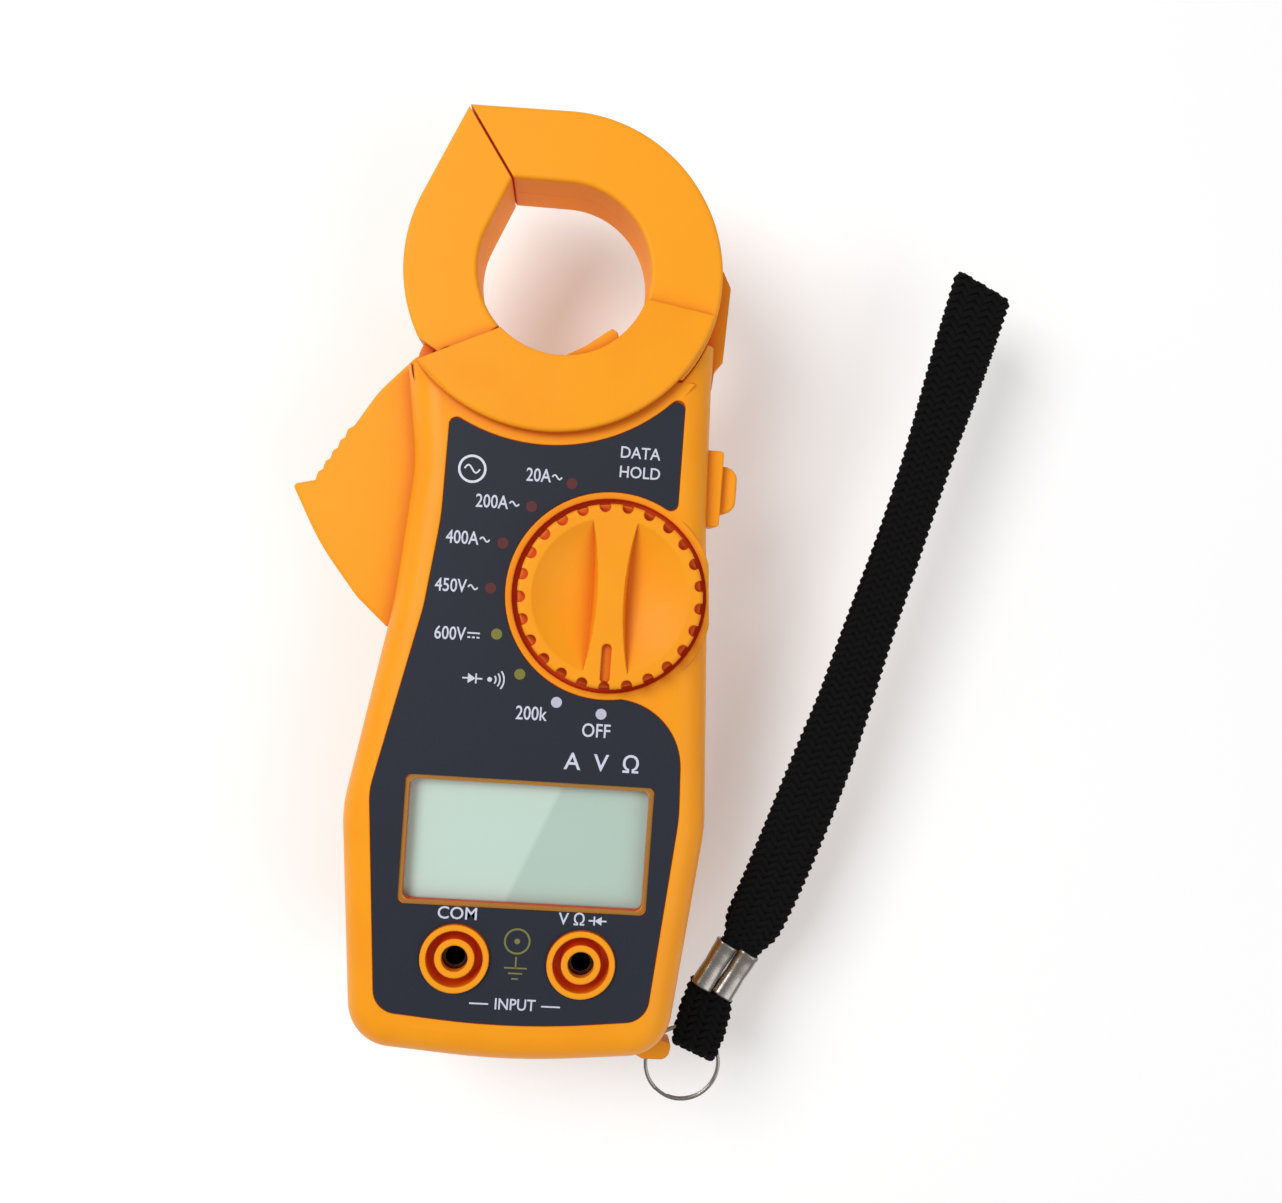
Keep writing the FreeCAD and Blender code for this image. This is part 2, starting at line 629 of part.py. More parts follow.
def fixed_jaw_front():
    jaw = fixed_side(soft_ring(JAW_MID, JAW_FRONT, JAW_FRONT), JAW_MID, JAW_FRONT)
    under_ledge = box(-40, 40, 50, 78.2, ROOF - 0.2, 40)
    jaw = jaw.cut(under_ledge.cut(disc(COLLAR[0], COLLAR[1], LEDGE_R - 0.2, 0, 40)))
    jaw = fuse([jaw, wire_stop()])
    jaw = jaw.cut(jaw_pocket(FIXED_WINDING, fixed_pocket_side()))
    return jaw.cut(jaw_screw_holes(False))


def wire_stop():
    """Small wedge inside the jaw opening, just behind the collar."""
    points = [(0.6, 80.0, 0), (1.4, 81.2, 0), (5.6, 83.6, 8), (10.8, 87.6, 0.7), (12.0, 86.8, 0.7),
              (12.6, 84.0, 0)]
    return prism(points, 26.8, JAW_FRONT)


# ---------------------------------------------------------------- knob and switch

def grip_notch(angle):
    """Rounded notch in the rim of the knob."""
    x, y = polar(KNOB, KNOB_R - 0.55, angle)
    tx, ty = polar((0, 0), 1.15, angle + 90)
    out = polar((0, 0), 4.0, angle)
    slot = prism([(x + tx, y + ty, 0), (x + tx + out[0], y + ty + out[1], 0),
                  (x - tx + out[0], y - ty + out[1], 0), (x - tx, y - ty, 0)], 29.5, KNOB_TOP + 1)
    return fuse([slot, disc(x, y, 1.15, 29.5, KNOB_TOP + 1)])


def scoop(side):
    """Hollow beside the finger bar, deepest next to the bar."""
    bar = 2.75
    rim_r = 16.3
    depth = 4.6
    bowl_r = (rim_r ** 2 + depth ** 2) / (2 * depth)
    bowl = Part.makeSphere(bowl_r, vec(KNOB[0], KNOB[1], KNOB_TOP - depth + bowl_r))
    bend = 66.0
    flank = Part.makeCone(bend - 1.6, bend + 0.8, 12.0,
                          vec(KNOB[0] + side * (bar + bend), KNOB[1], KNOB_TOP - 8))
    return bowl.common(flank).common(disc(KNOB[0], KNOB[1], KNOB_R, KNOB_TOP - 8, KNOB_TOP + 0.5))


def range_knob():
    knob = disc(KNOB[0], KNOB[1], KNOB_R, KNOB_BACK, KNOB_TOP)
    knob = round_edges(knob, 1.0, edge_at(KNOB_TOP))
    cuts = [grip_notch(-90.0 + 360.0 * i / NOTCHES) for i in range(NOTCHES)]
    cuts += [scoop(-1), scoop(1)]
    x, y = KNOB
    cuts.append(plate(x - 1.0, x + 1.0, y - KNOB_R + 1.5, y - KNOB_R + 9.5, 0.9, KNOB_TOP - 1.3, KNOB_TOP + 1))
    for cutter in cuts:
        knob = knob.cut(cutter)
    knob = fuse([knob, disc(x, y, 4.44, ROTOR[0] + 0.1, KNOB_BACK + 0.2)])
    return knob.cut(disc(x, y, 1.25, 20, 29.2))


def switch_rotor():
    x, y = KNOB
    rotor = tube(x, y, 4.5, 17.0, ROTOR[0], ROTOR[1])
    for angle in (90, 270):
        rotor = rotor.cut(detent_bore(angle))
    return rotor


def detent_bore(angle, r=0.85, start=11.0):
    x, y = polar(KNOB, start, angle)
    out = polar((0, 0), 1.0, angle)
    return Part.makeCylinder(r, 8, vec(x, y, sum(ROTOR) / 2), vec(out[0], out[1], 0))


def detent_balls():
    balls = []
    for angle in (90, 270):
        x, y = polar(KNOB, 16.0, angle)
        balls.append(Part.makeSphere(0.8, vec(x, y, sum(ROTOR) / 2)))
    return Part.makeCompound(balls)


def detent_springs():
    springs = []
    for angle in (90, 270):
        x, y = polar(KNOB, 11.2, angle)
        out = polar((0, 0), 1.0, angle)
        springs.append(coil(x, y, sum(ROTOR) / 2, 0.55, 0.12, 0.6, 3.6, (out[0], out[1], 0)))
    return Part.makeCompound(springs)


def rotor_wipers():
    """Three arc-shaped contacts on the underside of the rotor."""
    wipers = []
    for i, r in enumerate((7.5, 10.5, 13.5)):
        strip = tube(KNOB[0], KNOB[1], r, r + 1.4, BOARD[1] + 0.05, ROTOR[0])
        a = 60 + 120 * i
        wedge = prism([(*KNOB, 0), (*polar(KNOB, 30, a), 0), (*polar(KNOB, 30, a + 50), 0)], 20, 24)
        wipers.append(strip.common(wedge))
    return Part.makeCompound(wipers)


# ---------------------------------------------------------------- board and inside parts

def main_board():
    board = prism(CASE_LINE, BOARD[0], BOARD[1], -WALL - 1.2)
    board = board.cut(box(-60, 60, 60.5, 90, 0, 40))
    board = board.cut(box(24.4, 60, 46.5, 70, 0, 40))
    for x, y in CASE_SCREWS:
        board = board.cut(disc(x, y, 3.6, 0, 40))
    for x, y in BOARD_SCREWS:
        board = board.cut(disc(x, y, 1.2, 0, 40))
    for _, x, y in JACKS:
        board = board.cut(disc(x, y, 3.05, 0, 40))
    return board.cut(disc(KNOB[0], KNOB[1], 3.7, 0, 40))


def chip_blob():
    """Epoxy dome over the bonded chip."""
    dome = Part.makeSphere(8.0, vec(-20.0, 9.0, BOARD[1] - 6.0))
    return dome.common(disc(-20, 9, 7, BOARD[1], BOARD[1] + 4))


def capacitors():
    cans = []
    for x, y, r, h in ((-22.5, 22.0, 2.0, 4.2), (-17.5, 22.5, 2.0, 4.2), (-20.0, 28.0, 1.6, 3.6)):
        can = disc(x, y, r, BOARD[1], BOARD[1] + h)
        cans.append(round_edges(can, 0.3, edge_at(BOARD[1] + h)))
    return Part.makeCompound(cans)


def buzzer():
    body = disc(-14.0, 48.0, 6.2, BOARD[1], BOARD[1] + 4.2)
    body = round_edges(body, 0.5, edge_at(BOARD[1] + 4.2))
    return body.cut(disc(-14.0, 48.0, 0.9, BOARD[1] + 2, BOARD[1] + 5))


def trimmer():
    body = plate(-26.2, -21.8, 35.0, 39.4, 0.3, BOARD[1], BOARD[1] + 2.0)
    screw = disc(-24.0, 37.2, 1.5, BOARD[1] + 1.9, BOARD[1] + 2.8)
    slot = box(-25.3, -22.7, 36.95, 37.45, BOARD[1] + 2.4, BOARD[1] + 3)
    return fuse([body, screw]).cut(slot)


def jack_tube(x, y):
    """Metal socket for a 4 mm plug, with a collar soldered under the board."""
    body = fuse([disc(x, y, 2.95, 13.0, 26.6), disc(x, y, 4.2, BOARD[0] - 1.1, BOARD[0] - 0.05)])
    return body.cut(disc(x, y, 2.05, 14.0, 30))


def display_window():
    flange = lcd_plate(1.4, ROOF - 1.1, ROOF - 0.1)
    plug = lcd_plate(0.0, ROOF - 0.1, 27.7)
    return fuse([flange, plug])


def display_glass():
    x, y = LCD
    return plate(x - 27.0, x + 27.0, y - 15.6, y + 14.4, 0.3, 22.7, 24.8)


def display_frame():
    x, y = LCD
    block = plate(x - 28.8, x + 28.8, y - 17.2, y + 15.5, 1.0, BOARD[1] + 0.05, 24.8)
    pocket = plate(x - 27.1, x + 27.1, y - 15.7, y + 14.5, 0.3, 20, 26)
    frame = block.cut(pocket)
    for _, jx, jy in JACKS:
        frame = frame.cut(disc(jx, jy, 7.4, 20, 30))
    return frame


def contact_strip():
    x, y = LCD
    return plate(x - 24.0, x + 24.0, y - 15.2, y - 13.0, 0.2, BOARD[1] + 0.02, 22.68)


def side_button():
    y0, y1 = BUTTON_Y
    z0, z1 = BUTTON_Z
    body = box(32.4, BUTTON_FACE, y0, y1, z0, z1)
    body = round_edges(body, 3.0, lambda edge: (upright_near(BUTTON_FACE, y0)(edge)
                                                or upright_near(BUTTON_FACE, y1)(edge)))
    body = round_edges(body, 0.8, lambda edge: edge_at(z1)(edge) and edge.BoundBox.XMax > 36)
    flange = box(31.9, 33.2, y0 - 1.2, y1 + 1.2, z0 - 1.0, z1 + 1.0)
    return fuse([body, flange])


def hold_switch():
    """Tact switch under the board; its plunger looks at the button."""
    body = plate(24.8, 28.6, 53.2, 60.2, 0.3, 12.8, 18.8)
    legs = [box(25.4, 26.0, y, y + 0.6, 18.7, 19.3) for y in (54.0, 58.8)]
    return fuse([body] + legs).cut(switch_bore(1.35))


def switch_bore(r):
    return Part.makeCylinder(r, 6.0, vec(26.4, sum(BUTTON_Y) / 2, 15.8), vec(1, 0, 0))


def hold_plunger():
    return Part.makeCylinder(1.3, 3.8, vec(28.0, sum(BUTTON_Y) / 2, 15.8), vec(1, 0, 0))


# ---------------------------------------------------------------- battery parts

def cells():
    result = []
    for i, y in enumerate(CELL_Y):
        can = Part.makeCylinder(CELL_R, CELL_L - 1.0, vec(-CELL_L / 2, y, CELL_Z), vec(1, 0, 0))
        can = can.makeFillet(0.5, [e for e in can.Edges if e.Length > 20 and e.BoundBox.XLength < 0.01])
        cap = Part.makeCylinder(1.9, 1.1, vec(CELL_L / 2 - 1.1, y, CELL_Z), vec(1, 0, 0))
        cell = can.fuse(cap)
        if i:
            cell.rotate(vec(0, y, CELL_Z), vec(0, 0, 1), 180)
        result.append(cell)
    return Part.makeCompound(result)


def battery_springs():
    springs = []
    for i, y in enumerate(CELL_Y):
        side = -1 if i == 0 else 1
        start = side * (CELL_L / 2 + 0.55)
        springs.append(coil(start, y, CELL_Z, 2.4, 0.35, 1.1, 3.9, (side, 0, 0)))
    return Part.makeCompound(springs)


def contact_plates():
    plates = []
    for side in (-1, 1):
        x = side * 27.5
        for y in CELL_Y:
            plates.append(box(x - 0.2, x + 0.2, y - 4.6, y + 4.6, 3.9, 11.6))
    return Part.makeCompound(plates)


def battery_door():
    x0, x1, y0, y1 = DOOR
    door = plate(x0, x1, y0, y1, 2, 0, DOOR_T)
    for i in range(5):
        y = y0 + 4.0 + 1.6 * i
        for side in (-1, 1):
            door = door.cut(box(side * 16 - 6, side * 16 + 6, y, y + 0.8, -1, 0.5))
    door = door.cut(disc(DOOR_SCREW[0], DOOR_SCREW[1], 1.15, -1, 3))
    return door.cut(disc(DOOR_SCREW[0], DOOR_SCREW[1], 2.5, -1, 1.2))


# ---------------------------------------------------------------- ring, tether, wrist loop

def split_ring():
    """Two coils of flat-ended wire side by side, joined as one ring."""
    return Part.makeTorus(RING_R, WIRE_R, vec(RING[0], RING[1], RING_Z))


def strip(points, width, z0, z1):
    """Flat band whose edges run beside a smooth centreline."""
    line = Part.BSplineCurve()
    line.interpolate([vec(*p) for p in points])
    left = []
    right = []
    steps = 24
    for i in range(steps + 1):
        t = line.FirstParameter + (line.LastParameter - line.FirstParameter) * i / steps
        p = line.value(t)
        d = line.tangent(t)[0]
        n = vec(-d.y, d.x) * (width / 2)
        left.append(p + n)
        right.append(p - n)
    edges = []
    for side in (left, right[::-1]):
        curve = Part.BSplineCurve()
        curve.interpolate(side)
        edges.append(curve.toShape())
    edges.insert(1, Part.makeLine(left[-1], right[-1]))
    edges.append(Part.makeLine(right[0], left[0]))
    return raised(Part.Wire(edges), z0, z1)


def tether_loop():
    """Short band folded round the ring wire, with both ends held in the ferrules."""
    fold = TETHER_FOLD
    u = polar((0, 0), 1.0, TETHER_ANGLE - 90)
    w = TETHER_W / 2
    low = [ferrule_end(i, -1, 0.2) for i in (0, 1)]
    body = prism([(fold[0] - w * u[0], fold[1] - w * u[1], 0.6), (fold[0] + w * u[0], fold[1] + w * u[1], 0.6),
                  (low[1][0] + 2.0, low[1][1] - 1.2, 0), (low[0][0] - 2.0, low[0][1] + 0.6, 0)], 3.8, 7.2)
    slot = prism([(fold[0] - 9 * u[0] + 0.3, fold[1] - 9 * u[1] + 1.0, 0),
                  (fold[0] + 9 * u[0] + 0.3, fold[1] + 9 * u[1] + 1.0, 0), (60.0, -60.0, 0), (30.0, -62.0, 0)],
                 4.9, 6.1)
    stems = [ferrule_stem(i) for i in (0, 1)]
    return fuse([body.cut(slot)] + stems)


def ferrule_end(i, side, reach=0.0):
    half = FERRULE_SIZE[1] / 2 + reach
    return polar(FERRULES[i], side * half, FERRULE_ANGLE)


def ferrule_stem(i):
    """Webbing inside one ferrule, a little longer than the ferrule."""
    w, length, t = FERRULE_SIZE
    x, y = FERRULES[i]
    stem = box(x - length / 2 - 0.4, x + length / 2 + 0.4, y - w / 2 + 0.85, y + w / 2 - 0.85,
               RING_Z - t / 2 + 0.7, RING_Z + t / 2 - 0.7)
    stem.rotate(vec(x, y, 0), vec(0, 0, 1), FERRULE_ANGLE)
    return stem


def ferrules():
    shells = []
    for i in (0, 1):
        x, y = FERRULES[i]
        w, length, t = FERRULE_SIZE
        outer = plate(-w / 2, w / 2, -t / 2, t / 2, 1.2, 0, length)
        inner = plate(-w / 2 + 0.4, w / 2 - 0.4, -t / 2 + 0.4, t / 2 - 0.4, 0.8, -1, length + 1)
        sleeve = outer.cut(inner)
        sleeve.rotate(vec(0, 0, 0), vec(1, 0, 0), -90)
        sleeve.rotate(vec(0, 0, 0), vec(0, 0, 1), FERRULE_ANGLE - 90)
        end = ferrule_end(i, -1)
        sleeve.translate(vec(end[0], end[1], RING_Z))
        shells.append(sleeve)
    return Part.makeCompound(shells)


def wrist_loop():
    return strip(LOOP_LINE, LOOP_W, LOOP_Z[0], LOOP_Z[1])


# ---------------------------------------------------------------- fasteners, pin and spring

def pivot_pin():
    return disc(PIVOT[0], PIVOT[1], PIN_R - 0.02, 6.6, 28.0)


def jaw_spring():
    return coil(PIVOT[0], PIVOT[1], 21.3, 3.2, 0.35, 1.1, 3.85)


def root_screws():
    """Hold the root of the fixed jaw on two posts of the rear case, driven from the front."""
    return Part.makeCompound([cross_screw(x, y, 18.4, 1.7, 2.2, 1.25, 10.5, -1) for x, y in ROOT_SCREWS])


def case_screws():
    return Part.makeCompound([cross_screw(x, y, 1.1, 2.0, 2.6, 1.25, 20.0) for x, y in CASE_SCREWS])


def board_screws():
    return Part.makeCompound([cross_screw(x, y, BOARD[0] - 1.65, 1.6, 2.1, 1.0, 6.2)
                              for x, y in BOARD_SCREWS])


os.makedirs("parts", exist_ok=True)

save("front_case", front_case())
save("rear_case", rear_case())
panel = panel_outline(0, PANEL_Z + 0.02, 28.45).cut(lcd_plate(1.05, 20, 40))
for _, jx, jy in JACKS:
    panel = panel.cut(disc(jx, jy, JACK_R + GAP, 20, 40))
save("panel_overlay", panel)
save("display_window", display_window())
save("display_glass", display_glass())
save("display_frame", display_frame())
save("contact_strip", contact_strip())
save("main_board", main_board())
save("chip_blob", chip_blob())
save("capacitors", capacitors())
save("buzzer", buzzer())
save("trimmer", trimmer())
for name, jx, jy in JACKS:
    save(name + "_jack_tube", jack_tube(jx, jy))
save("moving_jaw_rear", moving_jaw_rear())
save("moving_jaw_front", moving_jaw_front())
save("moving_core", moving_core())
save("moving_coil", wound(MOVING_WINDING))
save("fixed_jaw_rear", fixed_jaw_rear())
save("fixed_jaw_front", fixed_jaw_front())
save("fixed_core", fixed_core())
save("fixed_coil", wound(FIXED_WINDING))
save("pivot_pin", pivot_pin())
save("jaw_spring", jaw_spring())
save("moving_jaw_screws", jaw_screws(True))
save("fixed_jaw_screws", jaw_screws(False))
save("root_screws", root_screws())
save("range_knob", range_knob())
save("switch_rotor", switch_rotor())
save("detent_balls", detent_balls())
save("detent_springs", detent_springs())
save("rotor_wipers", rotor_wipers())
save("knob_screw", cross_screw(KNOB[0], KNOB[1], 19.6, 1.6, 3.2, 1.2, 7.6))
save("side_button", side_button())
save("hold_switch", hold_switch())
save("hold_plunger", hold_plunger())
save("battery_cells", cells())
save("battery_springs", battery_springs())
save("contact_plates", contact_plates())
save("battery_door", battery_door())
save("door_screw", cross_screw(DOOR_SCREW[0], DOOR_SCREW[1], 0.1, 1.05, 2.3, 1.05, 6.0))
save("case_screws", case_screws())
save("board_screws", board_screws())
save("split_ring", split_ring())
save("tether_loop", tether_loop())
save("ferrules", ferrules())
save("wrist_loop", wrist_loop())
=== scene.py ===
import json
import math

import bmesh
import bpy
from mathutils import Matrix, Vector


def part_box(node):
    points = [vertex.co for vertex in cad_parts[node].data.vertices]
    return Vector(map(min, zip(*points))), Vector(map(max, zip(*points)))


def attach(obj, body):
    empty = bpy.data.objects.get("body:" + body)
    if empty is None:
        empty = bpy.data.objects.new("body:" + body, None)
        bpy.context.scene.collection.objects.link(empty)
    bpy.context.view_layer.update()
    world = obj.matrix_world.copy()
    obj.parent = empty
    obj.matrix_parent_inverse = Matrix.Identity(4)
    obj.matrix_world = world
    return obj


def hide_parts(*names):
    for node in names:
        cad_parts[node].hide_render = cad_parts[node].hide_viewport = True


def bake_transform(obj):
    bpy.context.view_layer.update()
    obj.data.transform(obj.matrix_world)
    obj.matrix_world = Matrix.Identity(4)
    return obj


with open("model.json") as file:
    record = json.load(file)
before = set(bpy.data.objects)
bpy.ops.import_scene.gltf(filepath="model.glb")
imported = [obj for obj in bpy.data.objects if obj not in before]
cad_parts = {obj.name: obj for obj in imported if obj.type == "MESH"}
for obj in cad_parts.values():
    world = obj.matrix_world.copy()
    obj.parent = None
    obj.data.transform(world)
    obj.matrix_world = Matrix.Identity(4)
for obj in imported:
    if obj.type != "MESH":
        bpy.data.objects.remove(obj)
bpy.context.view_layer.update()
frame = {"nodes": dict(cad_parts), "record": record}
nodes = frame["nodes"]

MM = 0.001


def centre(node):
    low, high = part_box(node)
    return (low + high) / 2


def top(node):
    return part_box(node)[1].z


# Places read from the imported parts
KNOB = centre("switch_rotor")
PANEL_TOP = top("panel_overlay")
WINDOW = centre("display_window")
COM = centre("com_jack_tube")
VOLT = centre("volt_jack_tube")
RING = centre("split_ring")
INK = 0.03 * MM               # height of the printed marks
DIAL_R = 24.9 * MM            # dots round the knob
DIAL_STEP = 22.5              # degrees between two dial positions


# ---------------------------------------------------------------- colours and materials

def colour(red, green, blue):
    """Linear colour of an 8-bit display colour."""
    out = []
    for channel in (red, green, blue):
        c = channel / 255
        out.append(c / 12.92 if c <= 0.04045 else ((c + 0.055) / 1.055) ** 2.4)
    return (*out, 1.0)


class Paint:
    """A node material under construction."""

    def __init__(self, name, base, roughness, metallic=0.0):
        self.material = bpy.data.materials.new(name)
        self.material.use_nodes = True
        self.tree = self.material.node_tree
        self.shader = self.tree.nodes["Principled BSDF"]
        self.shader.inputs["Base Color"].default_value = base
        self.shader.inputs["Roughness"].default_value = roughness
        self.shader.inputs["Metallic"].default_value = metallic
        self.place = self.add("ShaderNodeTexCoord").outputs["Object"]
        self.material.diffuse_color = base

    def add(self, kind, **settings):
        node = self.tree.nodes.new(kind)
        for key, value in settings.items():
            setattr(node, key, value)
        return node

    def link(self, source, target):
        self.tree.links.new(source, target)

    def noise(self, scale, detail=3.0, roughness=0.55, place=None):
        node = self.add("ShaderNodeTexNoise")
        node.inputs["Scale"].default_value = scale
        node.inputs["Detail"].default_value = detail
        node.inputs["Roughness"].default_value = roughness
        self.link(place or self.place, node.inputs["Vector"])
        return node.outputs["Fac"]

    def ramp(self, source, low, high, low_at=0.3, high_at=0.7):
        node = self.add("ShaderNodeValToRGB")
        stops = node.color_ramp.elements
        stops[0].position = low_at
        stops[0].color = low
        stops[1].position = high_at
        stops[1].color = high
        self.link(source, node.inputs["Fac"])
        return node.outputs["Color"]

    def vary(self, source, low, high, low_at=0.3, high_at=0.7):
        """Base colour that runs between two colours."""
        self.link(self.ramp(source, low, high, low_at, high_at), self.shader.inputs["Base Color"])

    def vary_roughness(self, source, low, high):
        node = self.add("ShaderNodeMapRange")
        node.inputs["To Min"].default_value = low
        node.inputs["To Max"].default_value = high
        self.link(source, node.inputs["Value"])
        self.link(node.outputs["Result"], self.shader.inputs["Roughness"])

    def relief(self, source, depth, strength=0.4, edge=0.0):
        """Bump from a texture, over edges that look slightly rounded."""
        bump = self.add("ShaderNodeBump")
        bump.inputs["Distance"].default_value = depth
        bump.inputs["Strength"].default_value = strength
        self.link(source, bump.inputs["Height"])
        if edge:
            soft = self.add("ShaderNodeBevel", samples=4)
            soft.inputs["Radius"].default_value = edge
            self.link(soft.outputs["Normal"], bump.inputs["Normal"])
        self.link(bump.outputs["Normal"], self.shader.inputs["Normal"])

    def painted_crevice_shade(self, shade, reach, shine=0.16):
        """Painted shade: deeper colour and a faint painted glow where the surface is boxed in by coloured
        walls.
        """
        base = self.shader.inputs["Base Color"]
        open_sky = self.add("ShaderNodeAmbientOcclusion", samples=6)
        open_sky.inputs["Distance"].default_value = reach
        spread = self.add("ShaderNodeMapRange")
        spread.inputs["From Min"].default_value = 0.25
        spread.inputs["From Max"].default_value = 0.85
        self.link(open_sky.outputs["AO"], spread.inputs["Value"])
        mix = self.add("ShaderNodeMix", data_type="RGBA")
        mix.inputs["A"].default_value = shade
        source = base.links[0].from_socket
        self.link(spread.outputs["Result"], mix.inputs["Factor"])
        self.link(source, mix.inputs["B"])
        self.link(mix.outputs["Result"], base)
        glow = self.add("ShaderNodeMapRange")
        glow.inputs["To Min"].default_value = shine
        glow.inputs["To Max"].default_value = 0.0
        self.link(spread.outputs["Result"], glow.inputs["Value"])
        # the shade colour also glows faintly in the hollows: a painted glow, not a lamp
        self.shader.inputs["Emission Color"].default_value = shade
        self.link(glow.outputs["Result"], self.shader.inputs["Emission Strength"])

    def stretched(self, x, y, z):
        """Object coordinates scaled per axis, for grain that runs one way."""
        node = self.add("ShaderNodeMapping")
        node.inputs["Scale"].default_value = (x, y, z)
        self.link(self.place, node.inputs["Vector"])
        return node.outputs["Vector"]


def moulded(name, light, dark, roughness=0.4, grain=9000, edge=0.35 * MM, painted_crevice_shade=None):
    """Moulded plastic: slow colour drift, fine grain, soft edges, uneven gloss, and painted shade with a
    faint painted glow in crevices when a crevice colour is given.
    """
    paint = Paint(name, light, roughness)
    paint.vary(paint.noise(60, 4), dark, light, 0.25, 0.6)
    paint.vary_roughness(paint.noise(420, 5), roughness - 0.07, roughness + 0.09)
    paint.relief(paint.noise(grain, 2), 0.015 * MM, 0.35, edge)
    paint.shader.inputs["Specular IOR Level"].default_value = 0.22
    if painted_crevice_shade:
        paint.painted_crevice_shade(painted_crevice_shade, 5 * MM)
    return paint.material


def metal(name, light, dark, roughness, brush=(1, 1, 1), painted_crevice_shade=None):
    """Metal with brushed streaks along one axis and faint handling marks, and painted shade deep in its
    hollows when a crevice colour is given.
    """
    paint = Paint(name, light, roughness, 1.0)
    streaks = paint.noise(3000, 4, 0.6, paint.stretched(*brush))
    paint.vary(streaks, dark, light)
    paint.vary_roughness(paint.noise(700, 5), roughness - 0.06, roughness + 0.12)
    paint.relief(streaks, 0.008 * MM, 0.3, 0.15 * MM)
    if painted_crevice_shade:
        paint.painted_crevice_shade(painted_crevice_shade, 6 * MM, 0.0)
    return paint.material


def panel_print():
    """Dark blue-grey printed sheet with a fine pebbled face."""
    paint = Paint("panel_print", colour(34, 38, 50), 0.55)
    paint.vary(paint.noise(5200, 3), colour(28, 31, 42), colour(40, 44, 57), 0.35, 0.68)
    paint.shader.inputs["Specular IOR Level"].default_value = 0.25
    paint.relief(paint.noise(7600, 2), 0.02 * MM, 0.5, 0.05 * MM)
    return paint.material


def display_green():
    """Reflective display backing: pale green, with the edge of a soft reflection painted across it as a
    lighter and a darker part.
    """
    slope = 0.414                  # sideways run of that edge for each step up the display
    paint = Paint("display_green", colour(196, 220, 208), 0.32)
    split = paint.add("ShaderNodeSeparateXYZ")
    paint.link(paint.place, split.inputs["Vector"])
    lean = paint.add("ShaderNodeMath", operation="MULTIPLY_ADD")
    lean.inputs[1].default_value = -slope
    paint.link(split.outputs["Y"], lean.inputs[0])
    paint.link(split.outputs["X"], lean.inputs[2])
    shift = paint.add("ShaderNodeMapRange")
    edge_at = WINDOW.x - slope * WINDOW.y + 1.7 * MM
    shift.inputs["From Min"].default_value = edge_at - 0.5 * MM
    shift.inputs["From Max"].default_value = edge_at + 0.5 * MM
    paint.link(lean.outputs["Value"], shift.inputs["Value"])
    # lighter left part and darker right part: a painted reflection edge
    paint.vary(shift.outputs["Result"], colour(193, 215, 203), colour(177, 200, 188), 0.0, 1.0)
    return paint.material


def clear_lens():
    """Thin clear window: mostly straight-through, with a weak gloss on its outer faces only."""
    material = bpy.data.materials.new("clear_lens")
    material.use_nodes = True
    tree = material.node_tree
    tree.nodes.remove(tree.nodes["Principled BSDF"])
    clear = tree.nodes.new("ShaderNodeBsdfTransparent")
    gloss = tree.nodes.new("ShaderNodeBsdfGlossy")
    gloss.inputs["Roughness"].default_value = 0.08
    fresnel = tree.nodes.new("ShaderNodeFresnel")
    fresnel.inputs["IOR"].default_value = 1.25
    ripple = tree.nodes.new("ShaderNodeTexNoise")
    ripple.inputs["Scale"].default_value = 300
    bump = tree.nodes.new("ShaderNodeBump")
    bump.inputs["Distance"].default_value = 0.002 * MM
    faces = tree.nodes.new("ShaderNodeNewGeometry")
    outside = tree.nodes.new("ShaderNodeMath")
    outside.operation = "SUBTRACT"
    outside.use_clamp = True
    mix = tree.nodes.new("ShaderNodeMixShader")
    output = tree.nodes["Material Output"]
    tree.links.new(ripple.outputs["Fac"], bump.inputs["Height"])
    tree.links.new(bump.outputs["Normal"], gloss.inputs["Normal"])
    tree.links.new(fresnel.outputs["Fac"], outside.inputs[0])
    tree.links.new(faces.outputs["Backfacing"], outside.inputs[1])
    tree.links.new(outside.outputs["Value"], mix.inputs["Fac"])
    tree.links.new(clear.outputs["BSDF"], mix.inputs[1])
    tree.links.new(gloss.outputs["BSDF"], mix.inputs[2])
    tree.links.new(mix.outputs["Shader"], output.inputs["Surface"])
    return material


def ink(name, shade):
    paint = Paint(name, shade, 0.55)
    worn = tuple(c * 0.82 for c in shade[:3]) + (1.0,)
    paint.vary(paint.noise(2600, 3), worn, shade, 0.3, 0.55)
    paint.relief(paint.noise(6000, 2), 0.01 * MM, 0.3)
    return paint.material


def braid_black():
    """Black polyester yarn: fine fibres, a soft sheen and dusty high spots."""
    paint = Paint("braid_black", colour(8, 8, 9), 0.8)
    fibres = paint.noise(9000, 4, 0.6)
    paint.vary(fibres, colour(3, 3, 4), colour(14, 14, 15), 0.35, 0.72)
    paint.relief(fibres, 0.05 * MM, 0.6)
    paint.shader.inputs["Specular IOR Level"].default_value = 0.12
    paint.shader.inputs["Sheen Weight"].default_value = 0.02
    paint.shader.inputs["Sheen Roughness"].default_value = 0.5
    return paint.material


def laminated_iron():
    """Stack of thin electrical sheets, seen as fine lines across the depth."""
    paint = Paint("laminated_iron", colour(120, 120, 124), 0.42, 0.9)
    wave = paint.add("ShaderNodeTexWave", bands_direction="Z")
    wave.inputs["Scale"].default_value = 420
    wave.inputs["Distortion"].default_value = 0.3
    paint.link(paint.place, wave.inputs["Vector"])
    paint.vary(wave.outputs["Fac"], colour(70, 68, 68), colour(150, 150, 154), 0.2, 0.7)
    paint.relief(wave.outputs["Fac"], 0.05 * MM, 0.6)
    return paint.material


